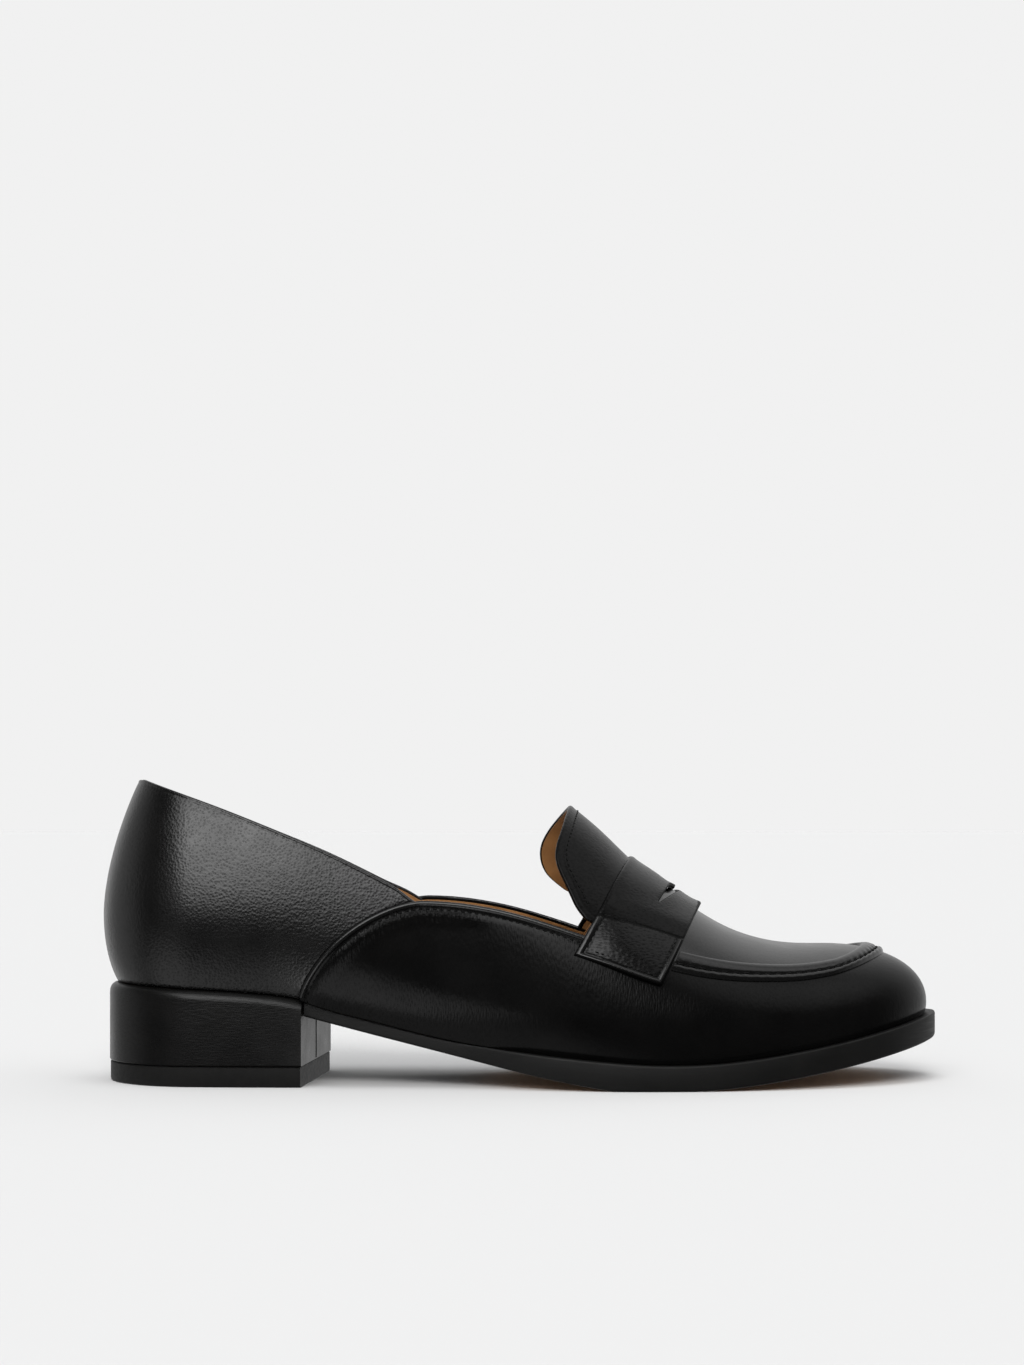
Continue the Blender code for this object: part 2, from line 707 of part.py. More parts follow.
def make_apron_seam(side_steps=9, toe_steps=9):
    """The raised seam round the apron, from the strap round the toe and back to the strap."""
    across = np.linspace(-1, 1, 6)
    start, end = (place_at(STRAP_FRONT, medial) + 0 * across for medial in (False, True))
    end_x = STRAP_FRONT + SEAM_OFF_STRAP
    for _ in range(20):
        start = leaning_place(end_x, seam_band_level(start, across), False, STRAP_BOW)
        end = leaning_place(end_x, seam_band_level(end, across), True, STRAP_BOW)
    side = np.linspace(0, 1, side_steps, endpoint=False)[:, None]
    toe = np.linspace(2, 3, 2 * toe_steps + 1)[:, None]
    place = np.concatenate([start + (2 - start) * side, toe + 0 * across, end + (3 - end) * side[::-1]])
    level = seam_band_level(place, across + 0 * place)
    height = SEAM_RIM + (SEAM_HEIGHT - SEAM_RIM) * np.sqrt(1 - across**2)
    inner = lifted(place, level, GAP + 0 * level)
    outer = lifted(place, level, GAP + height + 0 * level)
    return add_object("apron_seam", skin(outer, inner), BLACK_LEATHER)


def make_vamp_edge(name, medial, corner_steps=16, collar_steps=10):
    """The vamp's folded edge, from the heel breast round to the collar and along it to the throat."""
    angle = np.linspace(EDGE_FOOT_ANGLE, math.pi / 2, corner_steps)
    corner_x = EDGE_TOP_X - (EDGE_TOP_X - EDGE_FOOT_X) * np.cos(angle) ** (2 / EDGE_POWER)
    x = np.concatenate([corner_x, np.linspace(EDGE_TOP_X, EDGE_END_X, collar_steps)[1:]])
    place = place_at(x, medial)
    level = level_below(place, lambda points: vamp_line(points[..., 0]))
    line = last_point(place, level)
    normal = last_normal(place, level)
    along = np.gradient(line, axis=0)
    along /= np.linalg.norm(along, axis=1)[:, None]
    inward = np.cross(along, normal) * (-1 if medial else 1)
    middle = line + inward * (EDGE_HALF_WIDTH + GAP)
    across = np.linspace(-1, 1, 5)[None, :, None]
    height = EDGE_RIM + (EDGE_HEIGHT - EDGE_RIM) * np.sqrt(1 - across**2)
    base = middle[:, None] + inward[:, None] * across * EDGE_HALF_WIDTH
    inner = base + normal[:, None] * GAP
    outer = base + normal[:, None] * (GAP + height)
    return add_object(name, skin(outer, inner), BLACK_LEATHER)


def stand_on_origin(pieces):
    """Parent the pieces to an empty that puts the middle of their base on the origin."""
    corners = np.array([vert.co for piece in pieces for vert in piece.data.vertices])
    low, high = corners.min(axis=0), corners.max(axis=0)
    shoe = bpy.data.objects.new("shoe", None)
    bpy.context.collection.objects.link(shoe)
    shoe.location = (-(low[0] + high[0]) / 2, -(low[1] + high[1]) / 2, -low[2])
    for piece in pieces:
        piece.parent = shoe


def main():
    for old in list(bpy.data.objects):
        bpy.data.objects.remove(old, do_unlink=True)
    pieces = [make_outsole(), make_heel(), make_top_lift(), make_insole(), make_upper(), make_tongue()]
    pieces += make_strap()
    pieces.append(make_apron_seam())
    pieces.append(make_vamp_edge("vamp_edge_lateral", medial=False))
    pieces.append(make_vamp_edge("vamp_edge_medial", medial=True))
    stand_on_origin(pieces)


main()
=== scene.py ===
"""Looks of a low block-heel loafer: the right shoe, seen from its outer side.

The leather lies on the same last as the solids that it stands for. Sizes are in millimetres in the last's
own frame: x forward from the heel, y towards the inner side of the foot, z up from the floor.
add_piece() turns them into metres in the frame.
"""

import math
from collections import namedtuple

import bmesh
import bpy
import numpy as np
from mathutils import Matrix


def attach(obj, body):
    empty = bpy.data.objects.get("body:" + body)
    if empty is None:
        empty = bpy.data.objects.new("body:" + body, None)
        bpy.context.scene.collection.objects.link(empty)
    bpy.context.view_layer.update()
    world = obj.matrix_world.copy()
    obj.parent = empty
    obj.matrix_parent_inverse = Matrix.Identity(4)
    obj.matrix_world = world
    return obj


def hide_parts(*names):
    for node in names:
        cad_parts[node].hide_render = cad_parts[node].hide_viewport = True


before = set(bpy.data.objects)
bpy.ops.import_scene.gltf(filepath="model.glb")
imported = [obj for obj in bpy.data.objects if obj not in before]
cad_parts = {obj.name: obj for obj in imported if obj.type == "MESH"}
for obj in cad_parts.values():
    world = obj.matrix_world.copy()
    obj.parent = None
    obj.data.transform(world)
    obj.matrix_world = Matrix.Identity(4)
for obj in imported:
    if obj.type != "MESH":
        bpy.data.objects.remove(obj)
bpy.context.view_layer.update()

# The frame's origin in the last's own frame
MM = 0.001
ORIGIN = np.array([127.892, 0.743, 0.0])

# Driving sizes of the solids
GAP = 0.3
TOUCH = 0.0001
WALL = 1.9
INSOLE_THICK = 2.5
TONGUE_THICK = 1.8
STRAP_THICK = 1.9
LIFT_THICK = 6.0
HEEL_MARGIN = 2.3

# The heel axis turns outward from the shoe's own, and strap and throat lean back across the instep
HEEL_CENTRE = np.array([32.0, 0.0, 0.0])
HEEL_TURN = math.radians(-5.0)
HEEL_AXIS = np.array([math.cos(HEEL_TURN), math.sin(HEEL_TURN), 0])
BREAST_AHEAD = 33.2
INSTEP_LEAN = math.tan(math.radians(33.0))
STRAP_BOW = 1.5

# The sole's underside: shank, flat tread at the ball, toe spring
SHANK_START = 63.0
TREAD_START = 156.0
TREAD_END = 178.0
TOE_END = 255.5
BREAST_RISE = 20.9
SHANK_POWER = 1.2
TOE_SPRING = 12.9
SPRING_POWER = 1.5

# The last is a row of straight sections between a fan of sections at each end
FAN_HEEL_X = 32.0
FAN_TOE_X = 222.0
SPAN = FAN_TOE_X - FAN_HEEL_X
LOWER_ARC = math.radians(52.0)

# Outline of the last's bottom, anticlockwise from above: heading of travel, reach of the curve each way
Knot = namedtuple("Knot", "place x y heading reach_before reach_after")
FEATHER_LINE = [
    Knot("heel back", 4.1, 2.4, -95, 15, 15),
    Knot("lateral heel", 29.6, -27.4, -5, 15, 20),
    Knot("lateral waist", 92.0, -30.0, -3, 22, 26),
    Knot("lateral ball", 166.0, -41.5, 0, 30, 50),
    Knot("toe tip", 252.8, 8.0, 90, 26, 22),
    Knot("medial ball", 188.0, 43.0, 180, 40, 30),
    Knot("medial waist", 105.0, 21.5, 180, 30, 26),
    Knot("medial heel", 34.4, 27.4, 175, 20, 15),
]

# Top face of the sole and the heel seat, and how far the outsole stands out from the feather line, by x
SEAT = [
    (4, 30.2), (30, 28.9), (52, 27.5), (62, 25.9), (72, 22.7), (82, 20.0), (104, 14.6),
    (129, 10.9), (150, 8.8), (170, 7.6), (190, 8.4), (205, 10.3), (230, 14.8), (256, 20.7),
]
FLANGE = [(60, -1.2), (105, -0.9), (116, 0.2), (129, 2.4), (142, 2.9), (200, 2.9), (256, 3.3)]

# Ridge of the last, from the heel fan over the instep to the toe fan: x, y, z
RIDGE = np.array([
    (32, 0.0, 115.0), (60, -1.6, 119.0), (90, -2.4, 115.0), (120, -1.8, 101.5), (143, -0.4, 83.9),
    (152, 0.4, 76.4), (162, 1.4, 66.8), (171, 2.3, 59.4), (180, 3.2, 53.0), (190, 4.2, 47.0),
    (200, 5.1, 43.2), (210, 5.9, 41.4), (222, 6.6, 41.1),
])

# Sections of the last: x, bulge lateral and medial, height of the bulge, fullness of side and crown
SECTIONS = np.array([
    (4, 4.2, 4.2, 20.0, 0.35, 0.45),
    (32, 4.0, 4.0, 20.0, 0.35, 0.45),
    (70, 4.0, 5.0, 19.5, 0.38, 0.48),
    (105, 3.6, 6.2, 16.5, 0.48, 0.54),
    (143, 2.4, 4.2, 12.0, 0.58, 0.50),
    (180, 1.5, 1.7, 9.0, 0.60, 0.52),
    (200, 1.2, 1.2, 7.5, 0.60, 0.60),
    (222, 0.8, 0.8, 5.5, 0.60, 0.60),
    (253, 0.5, 0.5, 3.2, 0.60, 0.60),
])

# Collar line of the quarter by x: lower on the inner side, dipped at the outer front, rounded at the back
QUARTER_FRONT_X = 101
QUARTER_TOP = [
    (11.6, 92.4), (38, 83.2), (52, 77.7), (67, 71.4), (83, 63.6), (92, 58.8), (QUARTER_FRONT_X, 53.0),
]
MEDIAL_DROP = 2.0
MEDIAL_DROP_Y = (0, 18.0)
MEDIAL_RISE = 0.7
MEDIAL_RISE_X = (84, 94)
OUTER_DIP = 0.75
OUTER_DIP_X = (90, 96.5)
BACK_ROUNDING = 0.5
BACK_ROUNDING_X = (13.4, 11.6)

# The vamp's folded edge, seen from the side: a rounded corner, then a line on to the throat
EDGE_FOOT_X = 61.6
EDGE_FOOT_Z = 24.2
EDGE_TOP_X = 98.6
EDGE_TOP_Z = 55.3
EDGE_END_X = 158
EDGE_POWER = 1.65
VAMP_TOP = [(EDGE_TOP_X, EDGE_TOP_Z), (114, 54.1), (125, 51.9), (139, 47.7), (EDGE_END_X, 41.0)]

# Places along the ridge, and how far down the section each piece reaches (1 at the ridge, 0 at the bulge)
STRAP_REAR = 161.3
STRAP_FRONT = 182.2
STRAP_END = 0.175
SLOT_MIDDLE = 172.5
SLOT_REACH = 0.5
THROAT = 170.0
LINING_REAR = 162.6
TONGUE_BASE = 169.4
TONGUE_EDGE_LATERAL = 0.31
TONGUE_EDGE_MEDIAL = 0.37

# The tongue's free edge: where it stands along the ridge, by how far down the instep it is (- lateral)
TONGUE_LINE = [
    (-1.0, 159.2), (-0.972, 157.0), (-0.92, 154.2), (-0.864, 151.5), (-0.825, 149.6), (-0.784, 147.8),
    (-0.743, 146.5), (-0.69, 145.5), (-0.54, 144.3), (-0.37, 143.5), (0.0, 142.9), (0.21, 142.7),
    (0.5, 142.2), (0.72, 142.1), (0.823, 142.9), (0.876, 144.0), (0.937, 146.3), (0.972, 149.0),
    (1.0, 153.2),
]

# The raised seam lies this far in from the widest line of the last, by x
SEAM_PLACE = [(165, 5.6), (181, 6.8), (200, 8.6), (222, 10.2), (253, 16.6)]
SEAM_OFF_STRAP = 0.5

# Leather: thickness of the outer skin, how far the vamp laps over the quarter, how its folded edges swell
LEATHER = 1.2
LINING_FACE = 1.26
VAMP_LIFT = 0.15
VAMP_LAP = 0.75
LAP_FADES = 13.0
UNDER_VAMP = 0.45
EDGE_STITCH_IN = 2.35
FOLD_RADIUS = 0.6
FOLD_SWELL = 0.06
SWELL_AT = 0.43
SWELL_WIDTH = 0.26
FOLD_GROOVE = 0.07
GROOVE_WIDTH = 0.24
GROOVE_IN = 2.1
TOPLINE_GROOVE_IN = 1.35

# Lines of points that crowd towards a folded edge, as distances from it
EDGE_LINES = np.array([0, 0.1, 0.22, 0.38, 0.6, 0.85, 1.1, 1.35, 1.6, 1.85, 2.1, 2.35, 2.7, 3.1])
SECTION_STEPS = 240

# A soft hump on a surface
Hump = namedtuple("Hump", "height middle width")

# Steps of halving, of settling a leaning line and of one distance search
HALVINGS = 40
LEAN_STEPS = 30
SEAM_END_STEPS = 20
SLOT_STEPS = 4
SEARCH_BATCH = 4000

# How near the ridge a level counts as on it, in a search and for a point
RIDGE_REACHED = 1e-6
ON_RIDGE = 1e-9


def spline(points, first_slope=None, last_slope=None):
    """Return the cubic spline through (x, value) points; an end with no slope given is left free."""
    xs, ys = np.array(points, float).T
    step = np.diff(xs)
    rise = np.diff(ys) / step
    count = len(xs)
    matrix = np.zeros((count, count))
    target = np.zeros(count)
    matrix[0, 0] = matrix[-1, -1] = 1.0
    for i in range(1, count - 1):
        matrix[i, i - 1 : i + 2] = step[i - 1], 2 * (step[i - 1] + step[i]), step[i]
        target[i] = 6 * (rise[i] - rise[i - 1])
    if first_slope is not None:
        matrix[0, :2] = 2 * step[0], step[0]
        target[0] = 6 * (rise[0] - first_slope)
    if last_slope is not None:
        matrix[-1, -2:] = step[-1], 2 * step[-1]
        target[-1] = 6 * (last_slope - rise[-1])
    bend = np.linalg.solve(matrix, target)

    def value(x):
        x = np.clip(x, xs[0], xs[-1])
        i = np.clip(np.searchsorted(xs, x, side="right") - 1, 0, count - 2)
        after = (x - xs[i]) / step[i]
        before = 1 - after
        curve = (before**3 - before) * bend[i] + (after**3 - after) * bend[i + 1]
        return before * ys[i] + after * ys[i + 1] + curve * step[i] ** 2 / 6

    return value


def smooth(low, high, value):
    """Return 0 below low, 1 above high and a soft step between."""
    share = np.clip((value - low) / (high - low), 0, 1)
    return share**2 * (3 - 2 * share)


def bump(value, middle, width):
    """Return a soft hump of height 1."""
    return np.exp(-(((value - middle) / width) ** 2))


def hump(value, shape):
    """Return a soft hump of a named shape."""
    return shape.height * bump(value, shape.middle, shape.width)


def unit(vectors):
    """Return vectors drawn to length 1."""
    return vectors / np.linalg.norm(vectors, axis=-1)[..., None]


def run_along(points):
    """Return how far along its line each point lies; lines go along the last axis but one."""
    steps = np.diff(points, axis=-2, prepend=points[..., :1, :])
    return np.cumsum(np.linalg.norm(steps, axis=-1), axis=-1)


def halved(low, high, is_low):
    """Return a narrow range round the values where is_low(value) ends."""
    for _ in range(HALVINGS):
        middle = (low + high) / 2
        below = is_low(middle)
        low, high = np.where(below, middle, low), np.where(below, high, middle)
    return low, high


def feather_points(per_curve=160):
    """Return the feather line as points and outward normals, from the heel back by the lateral side."""
    points = []
    share = np.linspace(0, 1, per_curve, endpoint=False)[:, None]
    rest = 1 - share
    for knot, following in zip(FEATHER_LINE, FEATHER_LINE[1:] + FEATHER_LINE[:1]):
        start, end = np.array([knot.x, knot.y]), np.array([following.x, following.y])
        leave, arrive = math.radians(knot.heading), math.radians(following.heading)
        first = start + knot.reach_after * np.array([math.cos(leave), math.sin(leave)])
        second = end - following.reach_before * np.array([math.cos(arrive), math.sin(arrive)])
        near = rest**3 * start + 3 * rest**2 * share * first
        points.append(near + 3 * rest * share**2 * second + share**3 * end)
    points = np.concatenate(points)
    along = unit(np.roll(points, -1, axis=0) - np.roll(points, 1, axis=0))
    return points, np.stack([along[:, 1], -along[:, 0]], axis=1)


def sides_of(loop):
    """Return a loop's lateral and medial y as functions of x, with the loop's ends in x."""
    back, front = loop[:, 0].argmin(), loop[:, 0].argmax()
    loop = np.roll(loop, -back, axis=0)
    front = (front - back) % len(loop)
    lateral = loop[: front + 1]
    medial = np.concatenate([loop[front:], loop[:1]])[::-1]

    def reader(side):
        return lambda x: np.interp(x, side[:, 0], side[:, 1])

    return reader(lateral), reader(medial), loop[0, 0], lateral[-1, 0]


FEATHER, FEATHER_NORMAL = feather_points()
feather_lateral, feather_medial, _, _ = sides_of(FEATHER)
seat_height = spline(SEAT)
flange_width = spline(FLANGE)
ridge_y, ridge_z = (spline(RIDGE[:, [0, i]], first_slope=0, last_slope=0) for i in (1, 2))
bulge_lateral, bulge_medial, bulge_height, side_fill, crown_fill = (
    spline(SECTIONS[:, [0, i]]) for i in range(1, 6)
)
quarter_top = spline(QUARTER_TOP)
vamp_top = spline(VAMP_TOP, first_slope=0)
seam_inset = spline(SEAM_PLACE)
tongue_tip = spline(TONGUE_LINE)


def fan_reach(centre_x):
    """Return how far the feather line is from a point of the ridge, as a function of the direction."""
    offset = FEATHER - [centre_x, float(ridge_y(centre_x))]
    angle = np.mod(np.arctan2(offset[:, 1], offset[:, 0]), 2 * math.pi)
    order = np.argsort(angle)
    angle, reach = angle[order], np.linalg.norm(offset, axis=1)[order]
    return lambda turn: np.interp(np.mod(turn, 2 * math.pi), angle, reach, period=2 * math.pi)


heel_reach = fan_reach(FAN_HEEL_X)
toe_reach = fan_reach(FAN_TOE_X)


def place_at(x, medial):
    """Return the place on the loop of sections where a straight section stands at x."""
    along = (np.asarray(x, float) - FAN_HEEL_X) / SPAN
    return np.where(medial, 4 - along, 1 + along)


def last_point(place, level):
    """Return points of the last.

    place goes round the loop of sections: 0 to 1 heel back to lateral side, to 2 along the lateral side,
    to 3 round the toe, to 4 back along the medial side, to 5 round to the heel back.
    level goes up a section: -1 at the feather line, 0 at the bulge, 1 at the ridge.
    """
    place, level = np.broadcast_arrays(np.mod(place, 5.0), np.asarray(level, float))
    parts = [place < 1, place < 2, place < 3, place < 4]
    still = 0 * place
    x_back, x_ahead = FAN_HEEL_X + (place - 1) * SPAN, FAN_TOE_X - (place - 3) * SPAN
    x_ridge = np.select(parts, [FAN_HEEL_X + still, x_back, FAN_TOE_X + still, x_ahead], FAN_HEEL_X)
    quarters = [2 + place, 3 + still, 3 + 2 * (place - 2), 1 + still]
    turn = math.pi / 2 * np.select(parts, quarters, 1 + place - 4)
    y_ridge = ridge_y(x_ridge)
    lateral_reach = y_ridge - feather_lateral(x_ridge)
    medial_reach = feather_medial(x_ridge) - y_ridge
    round_heel = heel_reach(turn)
    reach = np.select(parts, [round_heel, lateral_reach, toe_reach(turn), medial_reach], round_heel)
    x_foot = x_ridge + reach * np.cos(turn)
    bulge = np.where(np.sin(turn) > 0, bulge_medial(x_foot), bulge_lateral(x_foot))
    height = bulge_height(x_foot)
    widest = seat_height(x_foot) + GAP + height
    swing = np.clip(-level, 0, None) * LOWER_ARC
    low_out = reach + bulge - bulge * (1 - np.cos(swing)) / (1 - math.cos(LOWER_ARC))
    low_up = widest - height * np.sin(swing) / math.sin(LOWER_ARC)
    up = np.clip(level, 0, 1)
    rest = 1 - up
    high_out = (reach + bulge) * (rest**3 + 3 * rest**2 * up + 3 * rest * up**2 * crown_fill(x_foot))
    high_up = 3 * rest**2 * up * side_fill(x_foot) + 3 * rest * up**2 + up**3
    high_up = widest + (ridge_z(x_ridge) - widest) * high_up
    out = np.where(level < 0, low_out, high_out)
    z = np.where(level < 0, low_up, high_up)
    return np.stack([x_ridge + out * np.cos(turn), y_ridge + out * np.sin(turn), z], axis=-1)


def last_normal(place, level, step=0.002):
    """Return the outward direction at points of the last."""
    level = np.clip(level, -1 + step, 1 - step)
    along = last_point(place + step, level) - last_point(place - step, level)
    up = last_point(place, level + step) - last_point(place, level - step)
    return unit(np.cross(along, up))


def lifted(place, level, distance, step=0.5):
    """Return points at a distance outside the last; on the ridge they are square to the ridge."""
    level = np.asarray(level, float)
    distance = np.asarray(distance, float) + 0 * level
    base = last_point(place, level)
    points = base + last_normal(place, level) * distance[..., None]
    top = level > 1 - ON_RIDGE
    if np.any(top):
        ridge = base[top]
        slope = (ridge_z(ridge[:, 0] + step) - ridge_z(ridge[:, 0] - step)) / (2 * step)
        up = np.stack([-slope, 0 * slope, np.ones_like(slope)], axis=-1) / np.sqrt(1 + slope**2)[:, None]
        points[top] = ridge + up * distance[top][:, None]
    return points


def level_below(place, height):
    """Return how far up each section stays below height(points)."""

    def is_below(level):
        points = last_point(place, level)
        return points[..., 2] < height(points) + TOUCH

    low, high = halved(-np.ones_like(place), np.ones_like(place), is_below)
    return np.where(high > 1 - RIDGE_REACHED, 1.0, low)


def leaning_place(ridge_x, level, medial, bow=0.0):
    """Return where a section that leans back across the instep from ridge_x crosses each level."""
    x = ridge_x + 0 * level
    bowed_x = ridge_x - bow * np.sin(math.pi * (1 - level) / (1 - STRAP_END))
    for _ in range(LEAN_STEPS):
        drop = ridge_z(ridge_x) - last_point(place_at(x, medial), level)[..., 2]
        x = (x + bowed_x - INSTEP_LEAN * drop) / 2
    return place_at(x, medial)


def across_instep(ridge_x, down, deepest, bow=0.0):
    """Return place and level for lines across the instep; down is -1 lateral, 0 at the ridge, 1 medial."""
    level = 1 - np.abs(down) * (1 - deepest)
    return leaning_place(ridge_x, level, down > 0, bow), level


def plane_across(ridge_x, points):
    """Return the height of the plane that leans back across the instep from ridge_x."""
    return ridge_z(ridge_x) - (ridge_x - points[..., 0]) / INSTEP_LEAN


def quarter_height(points):
    """Return the height of the quarter's collar line, which is lower on the inner side."""
    x, y = points[..., 0], points[..., 1]
    inner = smooth(*MEDIAL_DROP_Y, y - ridge_y(x))
    drop = MEDIAL_DROP - MEDIAL_RISE * smooth(*MEDIAL_RISE_X, x)
    dip = OUTER_DIP * smooth(*OUTER_DIP_X, x)
    return quarter_top(x) - drop * inner - dip * (1 - inner) - BACK_ROUNDING * smooth(*BACK_ROUNDING_X, x)


def throat_height(points):
    """Return the height of the plane that cuts the apron off at the throat."""
    return plane_across(THROAT, points)


def vamp_height(points):
    """Return the height of the vamp's folded edge at points of the last."""
    x = points[..., 0]
    share = np.clip((EDGE_TOP_X - x) / (EDGE_TOP_X - EDGE_FOOT_X), 0, 1)
    corner = EDGE_FOOT_Z + (EDGE_TOP_Z - EDGE_FOOT_Z) * (1 - share**EDGE_POWER) ** (1 / EDGE_POWER)
    return np.where(x < EDGE_TOP_X, corner, vamp_top(x))


def collar_height(points):
    """Return the height at which the upper ends: collar line, or the throat where that is higher."""
    quarter = np.where(points[..., 0] < QUARTER_FRONT_X, quarter_height(points), 0)
    return np.maximum(np.maximum(quarter, vamp_height(points)), throat_height(points))


def seam_level(place):
    """Return how far up each section the middle of the raised seam lies."""
    x_foot = last_point(place, -1)[..., 0]
    middle_x = np.clip(x_foot, FAN_HEEL_X, FAN_TOE_X)
    centre = np.stack([middle_x, ridge_y(middle_x)], axis=-1)

    def out(level):
        return np.linalg.norm(last_point(place, level)[..., :2] - centre, axis=-1)

    wanted = out(0 * place) - seam_inset(x_foot)
    return halved(0 * place, 1 + 0 * place, lambda level: out(level) > wanted)[0]


def seam_band_level(place, across, step=0.005):
    """Return how far up each section a line of the raised seam lies, across millimetres from its middle."""
    level = seam_level(place)
    climb = last_point(place, level + step) - last_point(place, level - step)
    return level + across * 2 * step / np.linalg.norm(climb, axis=-1)


def levels_from_top(place, low, high, count):
    """Return levels down each section: lines that crowd at its top edge, then even ones to its foot."""
    levels = high[:, None] + (low - high)[:, None] * np.linspace(0, 1, SECTION_STEPS)
    even = np.linspace(0, 1, count + 1)[1:]
    rows = []
    for run, level in zip(run_along(last_point(place[:, None], levels)), levels):
        crowd = EDGE_LINES * min(1, run[-1] / (2 * EDGE_LINES[-1]))
        distance = np.concatenate([crowd, crowd[-1] + (run[-1] - crowd[-1]) * even])
        rows.append(np.interp(distance, run, level))
    return np.array(rows)


def resample(path, pitch):
    """Return how far along a path evenly spaced points lie, and a function that reads lines along it."""
    run = run_along(path)
    count = max(2, round(run[-1] / pitch))

    def read(values, distance):
        return np.stack([np.interp(distance, run, line) for line in values.T], axis=-1)

    return (np.arange(count) + 0.5) * run[-1] / count, read


def distance_to(points, line):
    """Return the distance from each point to the nearest point of a densely drawn line."""
    flat = points.reshape(-1, 3)
    found = np.empty(len(flat))
    for start in range(0, len(flat), SEARCH_BATCH):
        batch = slice(start, start + SEARCH_BATCH)
        square = ((flat[batch, None] - line[None]) ** 2).sum(axis=2)
        found[batch] = np.sqrt(square.min(axis=1))
    return found.reshape(points.shape[:-1])


def rounded(distance, radius):
    """Return how far a rounded edge draws in from its face: radius at the edge, nothing further in."""
    share = np.clip(1 - distance / radius, 0, 1)
    return radius * (1 - np.sqrt(1 - share**2))


def folded(distance, groove_in=GROOVE_IN):
    """Return the outline of a folded and stitched edge, by the distance from it."""
    swell = FOLD_SWELL * bump(distance, SWELL_AT * groove_in, SWELL_WIDTH * groove_in)
    groove = FOLD_GROOVE * bump(distance, groove_in, GROOVE_WIDTH)
    return swell - groove - rounded(distance, FOLD_RADIUS)


# Making pieces

CREASE_DEG = 45
THREAD_CREASE_DEG = 60
CUT_CREASE_DEG = 34
WELD = 2e-6
SLIVER = 1e-7


def grid_quads(lines, rows, loop=False):
    """Return the quads of a grid of points, as indices."""
    i = np.arange(lines if loop else lines - 1)[:, None]
    j = np.arange(rows - 1)[None, :]
    k = (i + 1) % lines
    quads = [i * rows + j, k * rows + j, k * rows + j + 1, i * rows + j + 1]
    return np.stack(np.broadcast_arrays(*quads), axis=-1).reshape(-1, 4)


def rim_quads(line, inside):
    """Return quads that join a line of points to its partner on the other face."""
    return np.stack([line[:-1], line[1:], line[1:] + inside, line[:-1] + inside], axis=-1)


def shell(outer, inner, loop=False, ridge=None):
    """Return points and faces of a closed skin between two grids; ridge marks sections that meet on top."""
    lines, rows = outer.shape[:2]
    inside = lines * rows
    face = grid_quads(lines, rows, loop)
    index = np.arange(inside).reshape(lines, rows)
    if loop:
        index = np.concatenate([index, index[:1]])
    top = rim_quads(index[:, 0], inside)
    if ridge is not None:
        ridge = np.concatenate([ridge, ridge[:1]]) if loop else ridge
        top = top[~(ridge[:-1] & ridge[1:])]
    faces = [face, face[:, ::-1] + inside, top, rim_quads(index[:, -1], inside)]
    if not loop:
        faces += [rim_quads(index[0], inside), rim_quads(index[-1], inside)]
    return np.concatenate([outer.reshape(-1, 3), inner.reshape(-1, 3)]), np.concatenate(faces)


def sweep(path, normal, profile):
    """Return points and faces of a bar along a path; profile gives (to the left of travel, up) corners."""
    left = np.cross(normal, unit(np.gradient(path, axis=0)))
    points = path[:, None] + left[:, None] * profile[:, :1] + normal[:, None] * profile[:, 1:]
    lines, rows = points.shape[:2]
    body = np.concatenate([grid_quads(lines, rows), rim_quads(np.arange(lines) * rows, rows - 1)])
    ends = [list(range(rows)), list(range((lines - 1) * rows, lines * rows))]
    return points.reshape(-1, 3), [*body.tolist(), *ends]


def add_object(name, data):
    """Return a new object, put into the scene."""
    made = bpy.data.objects.new(name, data)
    bpy.context.scene.collection.objects.link(made)
    return made


def rework(mesh, change, crease_deg):
    """Change a mesh's faces, turn them outward and shade them smooth up to a crease angle."""
    mesh_data = bmesh.new()
    mesh_data.from_mesh(mesh)
    change(mesh_data)
    bmesh.ops.recalc_face_normals(mesh_data, faces=mesh_data.faces)
    mesh_data.to_mesh(mesh)
    mesh_data.free()
    mesh.shade_smooth()
    mesh.set_sharp_from_angle(angle=math.radians(crease_deg))


def weld(mesh_data):
    """Join points that coincide and drop faces without area."""
    bmesh.ops.remove_doubles(mesh_data, verts=mesh_data.verts, dist=WELD)
    bmesh.ops.dissolve_degenerate(mesh_data, edges=mesh_data.edges, dist=SLIVER)


def add_piece(name, points, faces, materials, slot, replaces=(), crease_deg=CREASE_DEG, shades=None):
    """Add a closed mesh to the scene, in place and riding on the shoe; shades gives each face's material."""
    mesh = bpy.data.meshes.new(name)
    mesh.from_pydata(((points - ORIGIN) * MM).tolist(), [], [list(face) for face in faces])
    for material in materials:
        mesh.materials.append(material)
    if shades is not None:
        mesh.polygons.foreach_set("material_index", np.asarray(shades, dtype=np.int32))
    rework(mesh, weld, crease_deg)
    piece = add_object(name, mesh)
    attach(piece, "root")
    if replaces:
        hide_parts(*replaces)
    return piece


def add_skin(name, place, level, above, below, material, replaces, slot="black_leather", **form):
    """Add a skin between two offsets from the last; form says where it closes."""
    outer, inner = lifted(place, level, above), lifted(place, level, below)
    return add_piece(name, *shell(outer, inner, **form), [material], slot, [replaces])


